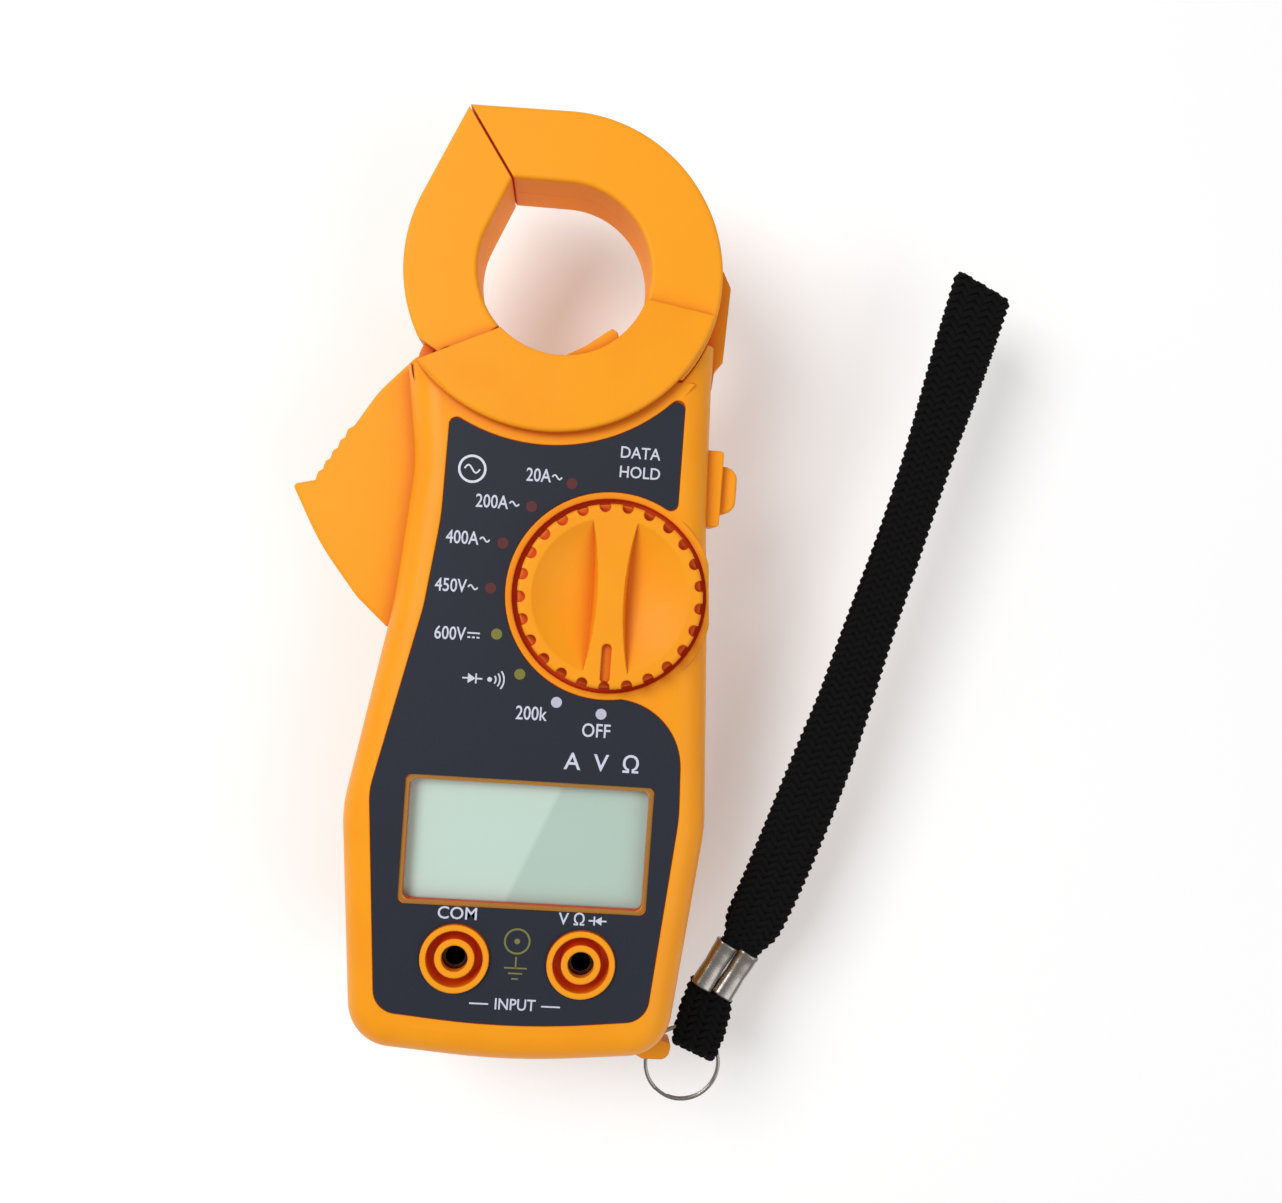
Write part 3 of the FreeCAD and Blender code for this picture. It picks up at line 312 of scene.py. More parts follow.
def wound_copper():
    paint = Paint("wound_copper", colour(178, 92, 40), 0.3, 0.85)
    wave = paint.add("ShaderNodeTexWave", bands_direction="Y")
    wave.inputs["Scale"].default_value = 900
    paint.link(paint.place, wave.inputs["Vector"])
    paint.vary(wave.outputs["Fac"], colour(96, 42, 18), colour(196, 108, 52), 0.1, 0.8)
    paint.relief(wave.outputs["Fac"], 0.08 * MM, 0.8)
    return paint.material


def board_green():
    """Solder mask with copper tracks showing through as lighter paths."""
    paint = Paint("board_green", colour(18, 92, 48), 0.35)
    tracks = paint.add("ShaderNodeTexBrick")
    tracks.inputs["Scale"].default_value = 260
    tracks.inputs["Mortar Size"].default_value = 0.05
    paint.link(paint.place, tracks.inputs["Vector"])
    paint.vary(tracks.outputs["Fac"], colour(16, 84, 44), colour(44, 138, 74), 0.2, 0.8)
    paint.relief(tracks.outputs["Fac"], 0.03 * MM, 0.5, 0.1 * MM)
    return paint.material


def cell_sleeve():
    """Plain printed sleeve: dark body with a copper-coloured end band."""
    paint = Paint("cell_sleeve", colour(30, 32, 38), 0.3)
    split = paint.add("ShaderNodeSeparateXYZ")
    paint.link(paint.place, split.inputs["Vector"])
    paint.vary(split.outputs["X"], colour(30, 32, 38), colour(196, 120, 52), 0.0, 0.012)
    paint.relief(paint.noise(2500, 2), 0.01 * MM, 0.3)
    return paint.material


ORANGE = colour(243, 155, 20)
ORANGE_DEEP = colour(240, 149, 17)
# deep red painted into the crevices of the orange plastics as painted shade and glow
PAINTED_SHADE_RED = colour(196, 56, 8)


def build_materials():
    steel = (colour(205, 205, 208), colour(120, 120, 124))
    return {
        # the orange plastics get painted shade and a faint painted glow in their crevices
        "orange_case": moulded("orange_case", ORANGE, ORANGE_DEEP, 0.4, edge=0.5 * MM,
                               painted_crevice_shade=PAINTED_SHADE_RED),
        "orange_jaw": moulded("orange_jaw", colour(244, 157, 22), ORANGE, 0.48, edge=0.4 * MM,
                              painted_crevice_shade=PAINTED_SHADE_RED),
        "orange_knob": moulded("orange_knob", ORANGE, ORANGE_DEEP, 0.5, edge=0.5 * MM,
                               painted_crevice_shade=PAINTED_SHADE_RED),
        "panel_print": panel_print(),
        "clear_lens": clear_lens(),
        "display_glass": display_green(),
        "white_plastic": moulded("white_plastic", colour(225, 225, 218), colour(208, 208, 200)),
        "silicone": moulded("silicone", colour(205, 150, 170), colour(180, 120, 145), 0.6),
        "board_laminate": board_green(),
        "black_epoxy": moulded("black_epoxy", colour(22, 22, 24), colour(12, 12, 13), 0.2, 900),
        "can_sleeve": moulded("can_sleeve", colour(40, 52, 120), colour(24, 32, 84), 0.25),
        "black_plastic": moulded("black_plastic", colour(34, 34, 36), colour(22, 22, 24), 0.5),
        "blue_plastic": moulded("blue_plastic", colour(36, 92, 178), colour(26, 70, 150), 0.3),
        # the brass socket bores get painted shade: near-black deep inside them
        "brass_socket": metal("brass_socket", colour(150, 118, 70), colour(110, 80, 40), 0.34,
                              (1, 1, 12), painted_crevice_shade=colour(34, 8, 4)),
        "core_iron": laminated_iron(),
        "copper_winding": wound_copper(),
        "steel": metal("steel", *steel, 0.22, (1, 1, 9)),
        "spring_steel": metal("spring_steel", *steel, 0.26, (3, 3, 1)),
        "screw_steel": metal("screw_steel", *steel, 0.34, (1, 6, 1)),
        "gold_contact": metal("gold_contact", colour(232, 190, 96), colour(190, 144, 60), 0.22),
        "cell_jacket": cell_sleeve(),
        "nickel_plate": metal("nickel_plate", colour(176, 172, 166), colour(112, 106, 100), 0.24,
                              (1, 8, 1)),
        "black_webbing": braid_black(),
    }


materials = build_materials()


def dress_frame():
    """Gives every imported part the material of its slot, with smooth shading on round faces."""
    slots = {row["node"]: row["material_slot"] for row in frame["record"]["subparts"]}
    for name, piece in nodes.items():
        piece.data.materials.clear()
        piece.data.materials.append(materials[slots[name]])
        piece.data.shade_smooth()
        split = piece.modifiers.new("edges", "EDGE_SPLIT")
        split.split_angle = math.radians(28)


# ---------------------------------------------------------------- mesh helpers

def new_piece(name, mesh, material, body):
    piece = bpy.data.objects.new(name, mesh)
    bpy.context.scene.collection.objects.link(piece)
    mesh.materials.append(material)
    if body:
        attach(piece, body)
    return piece


def finish_mesh(bm, name, smooth=True):
    mesh = bpy.data.meshes.new(name)
    bmesh.ops.recalc_face_normals(bm, faces=bm.faces)
    bm.to_mesh(mesh)
    bm.free()
    if smooth:
        mesh.shade_smooth()
    return mesh


def extrude_flat(bm, ring, z, height):
    """Closed plate from a counter-clockwise ring of plane points."""
    low = [bm.verts.new((x, y, z)) for x, y in ring]
    high = [bm.verts.new((x, y, z + height)) for x, y in ring]
    count = len(ring)
    bm.faces.new(low[::-1])
    bm.faces.new(high)
    for i in range(count):
        j = (i + 1) % count
        bm.faces.new((low[i], low[j], high[j], high[i]))


def stroke(bm, points, width, z, closed=False):
    """Flat pen line through plane points, as one closed ribbon."""
    count = len(points)
    left = []
    right = []
    for i, point in enumerate(points):
        before = points[i - 1] if i or closed else point
        after = points[(i + 1) % count] if i < count - 1 or closed else point
        d = (Vector(after) - Vector(before)).normalized()
        side = Vector((-d.y, d.x)) * (width / 2)
        left.append(Vector(point) + side)
        right.append(Vector(point) - side)
    if not closed:
        extrude_flat(bm, [tuple(p) for p in right + left[::-1]], z, INK)
        return
    rings = []
    for line, level in ((right, z), (right, z + INK), (left, z + INK), (left, z)):
        rings.append([bm.verts.new((p.x, p.y, level)) for p in line])
    for a, b in zip(rings, rings[1:] + rings[:1]):
        for i in range(count):
            j = (i + 1) % count
            bm.faces.new((a[i], a[j], b[j], b[i]))


def arc_points(x, y, r, start, end, steps=16):
    out = []
    for i in range(steps + 1):
        a = math.radians(start + (end - start) * i / steps)
        out.append((x + r * math.cos(a), y + r * math.sin(a)))
    return out


def disc_plate(bm, x, y, r, z, steps=40):
    extrude_flat(bm, arc_points(x, y, r, 0, 360 - 360 / steps, steps - 1), z, INK)


def lettering(bm, text, x, y, cap, z, squeeze=0.88):
    """Plain upright characters, centred on a point, as thin raised print. Gives their right end."""
    curve = bpy.data.curves.new("letters", "FONT")
    curve.body = text
    curve.size = cap / 0.729
    curve.align_x = "CENTER"
    curve.align_y = "CENTER"
    curve.extrude = INK / 2
    curve.offset = 0.012 * cap
    curve.resolution_u = 3
    holder = bpy.data.objects.new("letters", curve)
    bpy.context.scene.collection.objects.link(holder)
    bpy.context.view_layer.update()
    graph = bpy.context.evaluated_depsgraph_get()
    mesh = bpy.data.meshes.new_from_object(holder.evaluated_get(graph))
    mesh.transform(Matrix.Translation((x, y, z + INK / 2)) @ Matrix.Diagonal((squeeze, 1, 1, 1)))
    right = max(v.co.x for v in mesh.vertices)
    bm.from_mesh(mesh)
    bpy.data.objects.remove(holder)
    bpy.data.curves.remove(curve)
    bpy.data.meshes.remove(mesh)
    return right


# ---------------------------------------------------------------- printed panel

PEN = 0.33 * MM


def wave_mark(bm, x, y, z, width=2.0 * MM, height=0.45 * MM):
    """Alternating current sign."""
    points = [(x + width * (t / 12 - 0.5), y + height * math.sin(2 * math.pi * t / 12))
              for t in range(13)]
    stroke(bm, points, PEN, z)


def direct_mark(bm, x, y, z):
    """Direct current sign: a line over three dashes."""
    width = 2.6 * MM
    half = width / 2
    stroke(bm, [(x - half, y + 0.45 * MM), (x + half, y + 0.45 * MM)], PEN, z)
    for i in (-1, 0, 1):
        mid = x + i * width * 0.37
        stroke(bm, [(mid - 0.3 * MM, y - 0.45 * MM), (mid + 0.3 * MM, y - 0.45 * MM)], PEN, z)


def diode_mark(bm, x, y, z, size=1.05 * MM):
    """Diode sign. A negative size turns it to point left."""
    bar = size * 0.9
    step = 1 if size > 0 else -1
    arrow = [(x - bar, y - abs(size)), (x + bar * 0.7, y), (x - bar, y + abs(size))]
    extrude_flat(bm, arrow[::step], z, INK)
    stroke(bm, [(x + bar * 0.8, y - size), (x + bar * 0.8, y + size)], PEN, z)
    stroke(bm, [(x - 2.0 * size, y), (x - bar, y)], PEN, z)
    stroke(bm, [(x + bar, y), (x + 2.0 * size, y)], PEN, z)


def sound_mark(bm, x, y, z):
    """A dot with three growing arcs."""
    disc_plate(bm, x, y, 0.5 * MM, z, steps=20)
    for i in range(3):
        stroke(bm, arc_points(x, y, (1.3 + 0.85 * i) * MM, -38, 38, 8), PEN, z)


def earth_mark(bm, x, y, z):
    stroke(bm, [(x, y + 2.9 * MM), (x, y + 0.5 * MM)], PEN, z)
    for i, half in enumerate((2.4, 1.5, 0.7)):
        level = y + (0.5 - 1.15 * i) * MM
        stroke(bm, [(x - half * MM, level), (x + half * MM, level)], PEN, z)


def socket_bracket(bm, x, y, z):
    """Plain label between two short lines, under the sockets."""
    end = lettering(bm, "INPUT", x, y, 2.5 * MM, z, 0.9)
    half = end - x
    for side in (-1, 1):
        stroke(bm, [(x + side * (half + 1.2 * MM), y), (x + side * (half + 5.2 * MM), y)], PEN, z)


def print_white():
    """Dial values and socket names in pale ink."""
    bm = bmesh.new()
    z = PANEL_TOP
    cap = 2.85 * MM
    kx, ky = KNOB.x, KNOB.y
    values = [("20A", -16.6, 24.1), ("200A", -25.9, 17.9), ("400A", -31.5, 10.0), ("450V", -33.2, -0.1),
              ("600V", -32.7, -10.1)]
    for text, dx, dy in values:
        y = ky + dy * MM
        end = lettering(bm, text, kx + dx * MM, y, cap, z, 0.8)
        if text == "600V":
            direct_mark(bm, end + 1.6 * MM, y, z)
        else:
            wave_mark(bm, end + 1.25 * MM, y, z)
    diode_mark(bm, kx - 27.4 * MM, ky - 19.1 * MM, z)
    sound_mark(bm, kx - 23.8 * MM, ky - 19.1 * MM, z)
    lettering(bm, "200k", kx - 14.7 * MM, ky - 25.8 * MM, cap * 1.05, z, 0.8)
    lettering(bm, "OFF", kx - 0.8 * MM, ky - 28.6 * MM, cap * 1.05, z, 0.85)
    lettering(bm, "DATA", kx + 4.3 * MM, ky + 30.3 * MM, cap * 0.88, z, 0.92)
    lettering(bm, "HOLD", kx + 4.5 * MM, ky + 26.2 * MM, cap * 0.88, z, 0.92)
    lettering(bm, "COM", COM.x, COM.y + 9.4 * MM, cap * 0.95, z, 1.0)
    lettering(bm, "V Ω", VOLT.x - 2.5 * MM, VOLT.y + 9.4 * MM, cap * 0.92, z, 0.95)
    diode_mark(bm, VOLT.x + 2.9 * MM, VOLT.y + 9.4 * MM, z, -0.95 * MM)
    socket_bracket(bm, (COM.x + VOLT.x) / 2, COM.y - 9.4 * MM, z)
    lettering(bm, "A  V  Ω", KNOB.x + 1.0 * MM, KNOB.y - 35.4 * MM, 3.7 * MM, z, 1.0)
    new_piece("print_pale", finish_mesh(bm, "print_pale", False),
              ink("ink_pale", colour(205, 208, 225)), "case")


def pictogram():
    """Generic sign in the upper left corner: a wave inside a ring."""
    bm = bmesh.new()
    x = KNOB.x - 30.4 * MM
    y = KNOB.y + 24.5 * MM
    stroke(bm, arc_points(x, y, 2.7 * MM, 0, 348.75, 31), 0.5 * MM, PANEL_TOP, closed=True)
    wave_mark(bm, x, y, PANEL_TOP, 3.2 * MM, 0.8 * MM)
    new_piece("print_sign", finish_mesh(bm, "print_sign", False),
              ink("ink_sign", colour(214, 216, 228)), "case")


def window_border():
    """Painted shade: dull ochre band round the display window, on the floor of the panel recess, standing
    in for the shaded bevelled wall of the recess.
    """
    bm = bmesh.new()
    low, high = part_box("display_window")
    inset = 0.8 * MM                  # the window's hidden flange is this much wider than the band
    corner = 1.6 * MM
    points = []
    corners = ((high.x, high.y, 0), (low.x, high.y, 90), (low.x, low.y, 180), (high.x, low.y, 270))
    for x, y, start in corners:
        cx = x + math.copysign(inset + corner, WINDOW.x - x)
        cy = y + math.copysign(inset + corner, WINDOW.y - y)
        points += arc_points(cx, cy, corner, start, start + 90, 6)
    stroke(bm, points, 0.86 * MM, PANEL_TOP - 0.44 * MM, closed=True)
    # the ochre band is painted shade for the shaded bevel, laid on as a thin ink-like sheet
    new_piece("window_border", finish_mesh(bm, "window_border", False),
              ink("painted_bezel_shade", colour(164, 110, 22)), "case")


def print_olive():
    """Neutral ring and earth sign between the sockets."""
    bm = bmesh.new()
    x = (COM.x + VOLT.x) / 2 - 0.4 * MM
    y = COM.y + 4.2 * MM
    stroke(bm, arc_points(x, y, 2.6 * MM, 0, 348.75, 31), 0.4 * MM, PANEL_TOP, closed=True)
    disc_plate(bm, x, y, 0.6 * MM, PANEL_TOP)
    earth_mark(bm, x, y - 6.2 * MM, PANEL_TOP)
    new_piece("print_olive", finish_mesh(bm, "print_olive", False),
              ink("ink_olive", colour(118, 116, 62)), "case")


def dial_dots():
    groups = [("dots_pale", colour(188, 188, 208), (0, 1)), ("dots_olive", colour(118, 118, 34), (2, 3)),
              ("dots_red", colour(84, 12, 14), (4, 5, 6, 7))]
    for name, shade, steps in groups:
        bm = bmesh.new()
        for step in steps:
            a = math.radians(-90 - DIAL_STEP * step)
            x = KNOB.x + DIAL_R * math.cos(a)
            y = KNOB.y + DIAL_R * math.sin(a)
            disc_plate(bm, x, y, 1.15 * MM, PANEL_TOP)
        new_piece(name, finish_mesh(bm, name, False), ink("ink_" + name, shade),
                  "case")


# ---------------------------------------------------------------- braid

def smooth_line(points, steps):
    """Catmull-Rom curve through plane points: positions at even steps of arc length."""
    pts = [Vector(p) for p in points]
    pts = [pts[0] * 2 - pts[1]] + pts + [pts[-1] * 2 - pts[-2]]
    dense = []
    for i in range(1, len(pts) - 2):
        a, b, c, d = pts[i - 1:i + 3]
        for k in range(40):
            t = k / 40
            dense.append(0.5 * ((2 * b) + (c - a) * t + (2 * a - 5 * b + 4 * c - d) * t * t
                                + (3 * b - a - 3 * c + d) * t ** 3))
    dense.append(pts[-2])
    lengths = [0.0]
    for p, q in zip(dense, dense[1:]):
        lengths.append(lengths[-1] + (q - p).length)
    out = []
    k = 0
    for i in range(steps + 1):
        goal = lengths[-1] * i / steps
        while k < len(lengths) - 2 and lengths[k + 1] < goal:
            k += 1
        span = lengths[k + 1] - lengths[k]
        out.append(dense[k].lerp(dense[k + 1], (goal - lengths[k]) / span if span else 0))
    return out, lengths[-1]


class Band:
    """A path in space with a sideways direction, which a braid can be laid along."""

    def __init__(self, spots):
        self.spots = spots                       # rows of (centre, side, up, half width)
        self.lengths = [0.0]
        for a, b in zip(spots, spots[1:]):
            self.lengths.append(self.lengths[-1] + (b[0] - a[0]).length)

    def at(self, s):
        s = min(max(s, 0.0), self.lengths[-1])
        low, high = 0, len(self.lengths) - 1
        while high - low > 1:
            mid = (low + high) // 2
            if self.lengths[mid] <= s:
                low = mid
            else:
                high = mid
        span = self.lengths[high] - self.lengths[low]
        t = (s - self.lengths[low]) / span if span else 0.0
        a, b = self.spots[low], self.spots[high]
        return (a[0].lerp(b[0], t), a[1].lerp(b[1], t).normalized(), a[2].lerp(b[2], t).normalized(),
                a[3] + (b[3] - a[3]) * t)


def braid(band, name, carriers, period, yarn_width, yarn_height, rise):
    """Flat braid: each yarn zigzags across the band, over two others and then under two."""
    bm = bmesh.new()
    total = band.lengths[-1]
    step = period / (2 * carriers * 2.5)
    count = int(total / step)
    profile = [(math.cos(a), math.sin(a)) for a in (i * math.pi / 3 for i in range(6))]
    for carrier in range(carriers):
        phase = carrier / carriers
        path = []
        for i in range(count + 1):
            s = total * i / count
            turn = (s / period + phase) % 1.0
            across = 1 - 4 * abs(turn - 0.5)
            rightward = 1 if turn < 0.5 else -1
            middle, side, up, half = band.at(s)
            reach = half - yarn_width * 0.42
            lift = rise * rightward * math.sin(math.pi * carriers * (across + 1) / 4)
            path.append((middle + side * (across * reach) + up * lift, side, up))
        rings = []
        for i, (point, side, up) in enumerate(path):
            before = path[max(i - 1, 0)][0]
            after = path[min(i + 1, len(path) - 1)][0]
            along = (after - before).normalized()
            flat = along.cross(up).normalized()
            lid = flat.cross(along).normalized()
            rings.append([bm.verts.new(point + flat * (c * yarn_width / 2)
                                       + lid * (s * yarn_height / 2))
                          for c, s in profile])
        for a, b in zip(rings, rings[1:]):
            for i in range(6):
                j = (i + 1) % 6
                bm.faces.new((a[i], a[j], b[j], b[i]))
        bm.faces.new(rings[0][::-1])
        bm.faces.new(rings[-1])
    return finish_mesh(bm, name)


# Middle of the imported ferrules, with their lean, length, width and spacing in the plane
FERRULE_LOW, FERRULE_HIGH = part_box("ferrules")
FERRULE_ANGLE = math.radians(61.3)
FERRULE_AXIS = Vector((math.cos(FERRULE_ANGLE), math.sin(FERRULE_ANGLE), 0))
FERRULE_SIDE = Vector((math.sin(FERRULE_ANGLE), -math.cos(FERRULE_ANGLE), 0))
FERRULE_MID = Vector(((FERRULE_LOW.x + FERRULE_HIGH.x) / 2, (FERRULE_LOW.y + FERRULE_HIGH.y) / 2, RING.z))
FERRULE_LENGTH = 11.8 * MM
FERRULE_WIDTH = 5.2 * MM
FERRULE_STEP = Vector((2.5, -0.98, 0)) * MM      # from the middle to each ferrule's centre
FERRULE_SPLAY = math.radians(0.6)                # each ferrule leans outwards by this much

LOOP_LINE = [(51.2, -48.6), (53.9, -42.2), (58.0, -31.5), (65.0, -11.0), (70.8, 8.0), (75.7, 26.5),
             (80.7, 45.0), (85.0, 61.5), (88.6, 76.0), (92.6, 92.0), (96.6, 108.6)]
LOOP_HALF = 5.9 * MM
LOOP_RISE = 0.95 * MM        # half the distance between the two layers
CARRIERS = 14
PERIOD = 26 * MM
FOLD_SLANT = math.radians(-12)   # slant of the fold at the far end, on top of square
SLANT_FROM = 0.86            # share of the loop's length where the slant starts
NECK_SHARE = 0.045           # share of the loop's length gathered next to the ferrules
NECK_WIDTH = 0.78            # half width there, as a share of LOOP_HALF
TETHER_CARRIERS = 12
TETHER_PERIOD = 22 * MM
TETHER_RISE = 1.15 * MM
YARN_WIDTH = 1.3 * MM
UP = Vector((0, 0, 1))


def blend_value(t):
    t = min(max(t, 0.0), 1.0)
    return t * t * (3 - 2 * t)


def loop_band():
    """Up one side from the ferrules, over the fold at the far end, and back underneath."""
    line, length = smooth_line([(x * MM, y * MM) for x, y in LOOP_LINE], 150)
    spots = []
    count = len(line) - 1
    for layer in (1, -1):
        order = range(count + 1) if layer == 1 else range(count, -1, -1)
        for i in order:
            a = line[max(i - 1, 0)]
            b = line[min(i + 1, count)]
            d = (b - a).normalized()
            t = i / count
            slant = FOLD_SLANT * blend_value((t - SLANT_FROM) / (1 - SLANT_FROM))
            side = Matrix.Rotation(slant, 3, "Z") @ Vector((d.y, -d.x, 0))
            neck = blend_value(t / NECK_SHARE)
            swell = 1.07 + 0.17 * math.cos(2 * math.pi * (t - 0.22) / 0.78)
            half = LOOP_HALF * (NECK_WIDTH + (swell - NECK_WIDTH) * neck)
            wander = 0.35 * MM * math.sin(11 * t + 1.4 * layer) * neck
            lift = LOOP_RISE * (0.45 + 0.55 * neck) * layer
            sway = 0.12 * MM * math.sin(23 * t + layer)
            point = Vector((line[i].x, line[i].y, RING.z)) + side * wander + UP * (lift + sway * neck)
            spots.append((point, side, UP * layer, half))
        if layer == 1:
            spots += fold_spots(spots[-1], Vector((d.x, d.y, 0)), LOOP_RISE)
    return Band(spots)


def fold_spots(last, onward, radius):
    """Half turn round the end of a fold."""
    steps = 8
    point, side, up, half = last
    heart = point - up * radius
    out = []
    for i in range(1, steps):
        a = math.pi * i / steps
        lift = up * math.cos(a) + onward * math.sin(a)
        out.append((heart + lift * radius, side, lift, half * (1 - 0.07 * math.sin(a))))
    return out


def wrist_loop():
    mesh = braid(loop_band(), "wrist_braid", CARRIERS, PERIOD, YARN_WIDTH, 0.66 * MM, 0.34 * MM)
    piece = new_piece("wrist_braid", mesh, materials["black_webbing"], None)
    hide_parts("wrist_loop")
    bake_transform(piece)


TETHER_FOLD = RING + Vector((2.6, 4.1, 0)) * MM
TETHER_ANGLE = math.radians(67)
TETHER_DIRECTION = Vector((math.cos(TETHER_ANGLE), math.sin(TETHER_ANGLE), 0))


def tether_band():
    """Down from the ferrules, round the ring wire, and back up behind."""
    mouth = FERRULE_MID - FERRULE_AXIS * (FERRULE_LENGTH / 2 - 0.4 * MM)
    steps = 26
    spots = []
    for layer in (1, -1):
        order = range(steps, -1, -1) if layer == 1 else range(steps + 1)
        for i in order:
            t = i / steps
            point = TETHER_FOLD.lerp(mouth, t)
            turn = blend_value(t)
            across = (TETHER_DIRECTION * (1 - turn) + FERRULE_AXIS * turn).normalized()
            side = Vector((across.y, -across.x, 0)) * layer
            neck = blend_value((1 - t) / 0.3)
            half = (5.7 + 0.5 * math.sin(math.pi * t) + 0.12 * math.sin(17 * t + layer)) * MM
            lift = TETHER_RISE * (0.4 + 0.6 * neck)
            spots.append((point + UP * lift * layer, side * layer, UP * layer, half))
        if layer == 1:
            spots += fold_spots(spots[-1], -TETHER_DIRECTION, TETHER_RISE)
    return Band(spots)


def tether():
    mesh = braid(tether_band(), "tether_braid", TETHER_CARRIERS, TETHER_PERIOD, YARN_WIDTH,
                 0.64 * MM, 0.32 * MM)
    piece = new_piece("tether_braid", mesh, materials["black_webbing"], "tether")
    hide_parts("tether_loop")


# ---------------------------------------------------------------- metal pieces of the strap

def loft(bm, rings, cap=False):
    """Skin through rows of points, each row a closed ring."""
    rows = [[bm.verts.new(p) for p in ring] for ring in rings]
    count = len(rows[0])
    for a, b in zip(rows, rows[1:]):
        for i in range(count):
            j = (i + 1) % count
            bm.faces.new((a[i], a[j], b[j], b[i]))
    if cap:
        bm.faces.new(rows[0][::-1])
        bm.faces.new(rows[-1])


def ferrule_axes(sign):
    turn = Matrix.Rotation(-FERRULE_SPLAY * sign, 3, "Z")
    return turn @ FERRULE_AXIS, turn @ FERRULE_SIDE


def ferrules():
    """Two crimped sleeves: rolled lips, a lengthwise seam and a shallow crimp."""
    bm = bmesh.new()
    profile = [(0.0, -0.30), (0.0, 0.0), (0.12, 0.12), (0.4, 0.16), (0.9, 0.02), (2.8, 0.0),
               (4.8, -0.10), (5.9, -0.16), (7.0, -0.10), (9.0, 0.0), (10.9, 0.02), (11.4, 0.16),
               (11.68, 0.12), (11.8, 0.0), (11.8, -0.30)]
    around = 48
    for sign in (-1, 1):
        along_axis, side_axis = ferrule_axes(sign)
        base = FERRULE_MID + FERRULE_STEP * sign - along_axis * (FERRULE_LENGTH / 2)
        rings = []
        for along, grow in profile + [(s, -0.42) for s in (11.2, 5.9, 0.6)]:
            ring = []
            for i in range(around):
                a = 2 * math.pi * i / around
                seam = 0.14 * math.exp(-((a - math.pi * 1.5) / 0.09) ** 2)
                w = (FERRULE_WIDTH / MM / 2 + grow - seam) * MM
                t = (1.9 + grow - seam) * MM
                x = math.copysign(abs(math.cos(a)) ** 0.8, math.cos(a)) * w
                y = math.copysign(abs(math.sin(a)) ** 0.8, math.sin(a)) * t
                ring.append(base + along_axis * (along * MM) + side_axis * x + UP * y)
            rings.append(ring)
        loft(bm, rings + rings[:1])
    bmesh.ops.remove_doubles(bm, verts=bm.verts, dist=1e-6)
    piece = new_piece("crimp_ferrules", finish_mesh(bm, "crimp_ferrules"), materials["nickel_plate"],
                      "tether")
    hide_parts("ferrules")


def band_ends():
    """Gathered webbing that fills the mouths of the ferrules."""
    bm = bmesh.new()
    for sign in (-1, 1):
        along_axis, side_axis = ferrule_axes(sign)
        base = FERRULE_MID + FERRULE_STEP * sign
        rings = []
        for i in range(15):
            along = (i / 14 - 0.5) * (FERRULE_LENGTH + 1.4 * MM)
            bulge = 1.0 - 0.1 * math.cos(3 * math.pi * i / 14)
            ring = []
            for k in range(24):
                a = 2 * math.pi * k / 24
                rib = 1 + 0.06 * math.cos(6 * a)
                ring.append(base + along_axis * along + side_axis * (math.cos(a) * 1.7 * MM * bulge * rib)
                            + UP * (math.sin(a) * 1.3 * MM * bulge * rib))
            rings.append(ring)
        loft(bm, rings, cap=True)
    new_piece("band_ends", finish_mesh(bm, "band_ends"), materials["black_webbing"], "tether")


def split_ring():
    """Two close coils of flattened wire that overlap for one full turn."""
    bm = bmesh.new()
    low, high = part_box("split_ring")
    wire_half = 0.42 * MM
    wire_rise = 0.21 * MM
    radius = (high.x - low.x) / 2 - 0.45 * MM
    turns = 1.94
    steps = 180
    start = math.radians(250)
    rings = []
    for i in range(steps + 1):
        t = i / steps
        a = start + 2 * math.pi * turns * t
        level = 0.23 * MM * (2 * blend_value((t - 0.5) / 0.07 + 0.5) - 1)
        out = Vector((math.cos(a), math.sin(a), 0))
        heart = RING + out * radius + UP * level
        ring = []
        for k in range(10):
            b = 2 * math.pi * k / 10
            x = math.copysign(abs(math.cos(b)) ** 0.7, math.cos(b)) * wire_half
            y = math.copysign(abs(math.sin(b)) ** 0.7, math.sin(b)) * wire_rise
            ring.append(heart + out * x + UP * y)
        rings.append(ring)
    loft(bm, rings, cap=True)
    piece = new_piece("ring_coils", finish_mesh(bm, "ring_coils"), materials["nickel_plate"], "ring")
    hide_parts("split_ring")


# ---------------------------------------------------------------- stage, light and camera

FLOOR_Z = -20 * MM


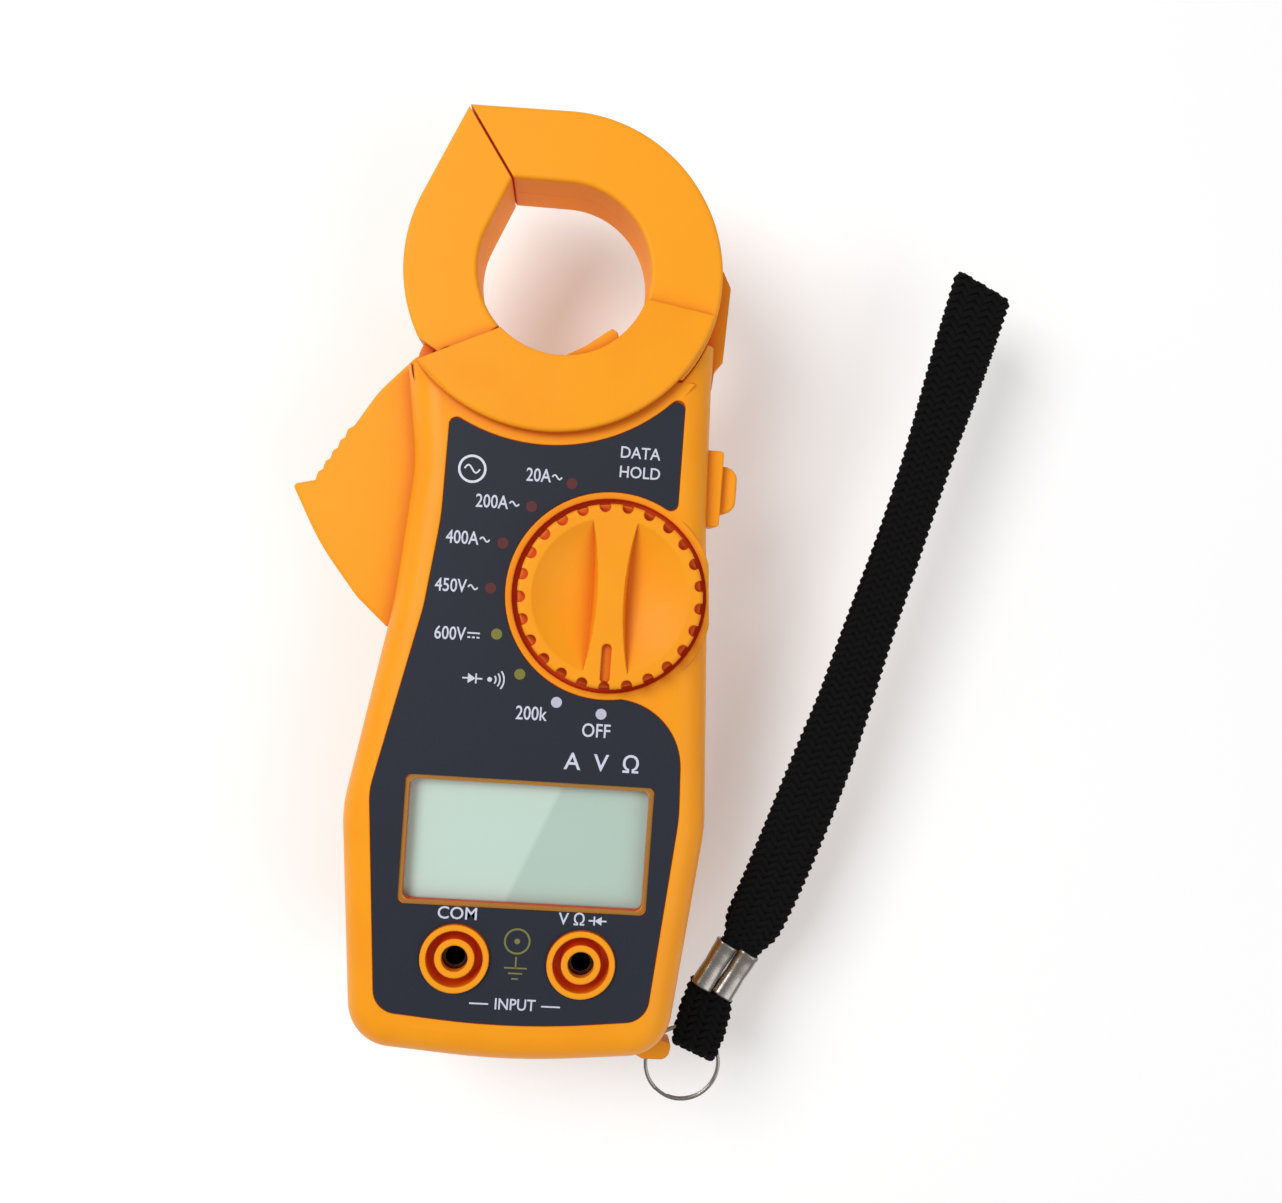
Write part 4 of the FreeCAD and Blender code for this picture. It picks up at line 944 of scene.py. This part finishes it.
def stage():
    """Pale floor, far enough below the part for the lifted battery door.

    The strap is longer than that gap, so it dips through the floor where it bends downwards.
    """
    mesh = bpy.data.meshes.new("floor")
    corners = [(x, y, FLOOR_Z) for x, y in ((-3, -3), (3, -3), (3, 3), (-3, 3))]
    mesh.from_pydata(corners, [], [(0, 1, 2, 3)])
    floor = bpy.data.objects.new("floor", mesh)
    bpy.context.scene.collection.objects.link(floor)
    paint = Paint("floor", (0.9, 0.9, 0.9, 1), 0.9)
    paint.vary(paint.noise(3, 2), (0.80, 0.80, 0.805, 1), (0.84, 0.84, 0.84, 1))
    paint.shader.inputs["Emission Color"].default_value = (1, 1, 1, 1)
    paint.shader.inputs["Emission Strength"].default_value = 0.2
    mesh.materials.append(paint.material)


def area_light(name, place, target, size, power):
    data = bpy.data.lights.new(name, "AREA")
    data.size = size
    data.energy = power
    lamp = bpy.data.objects.new(name, data)
    bpy.context.scene.collection.objects.link(lamp)
    lamp.location = place
    lamp.rotation_euler = (Vector(target) - Vector(place)).to_track_quat("-Z", "Y").to_euler()


def lights():
    world = bpy.data.worlds.new("studio")
    bpy.context.scene.world = world
    world.use_nodes = True
    world.node_tree.nodes["Background"].inputs["Color"].default_value = (1, 1, 1, 1)
    world.node_tree.nodes["Background"].inputs["Strength"].default_value = 0.4
    middle = (0, 0.03, 0)
    area_light("key", (-0.45, 0.30, 0.75), middle, 0.45, 5.6)
    area_light("fill", (0.55, -0.25, 0.7), middle, 0.6, 2.0)


EYE = Vector((4.5, 37.0, 277.0)) * MM
ROLL = math.radians(4.05)
LENS = 33.2
AIM = (0.0660, -0.0229)


def camera():
    data = bpy.data.cameras.new("camera")
    data.lens = LENS
    data.sensor_width = 36
    data.clip_start = 0.01
    eye = bpy.data.objects.new("camera", data)
    bpy.context.scene.collection.objects.link(eye)
    forward = Vector((AIM[0], AIM[1], -1)).normalized()
    level = Vector((math.cos(ROLL), math.sin(ROLL), 0))
    right = (level - forward * level.dot(forward)).normalized()
    up = right.cross(forward)
    turn = Matrix((right, up, -forward)).transposed().to_4x4()
    eye.matrix_world = Matrix.Translation(EYE) @ turn
    bpy.context.scene.camera = eye


dress_frame()
print_white()
pictogram()
print_olive()
window_border()
dial_dots()
wrist_loop()
tether()
band_ends()
ferrules()
split_ring()
stage()
lights()
camera()
bpy.context.scene.view_settings.view_transform = "Standard"
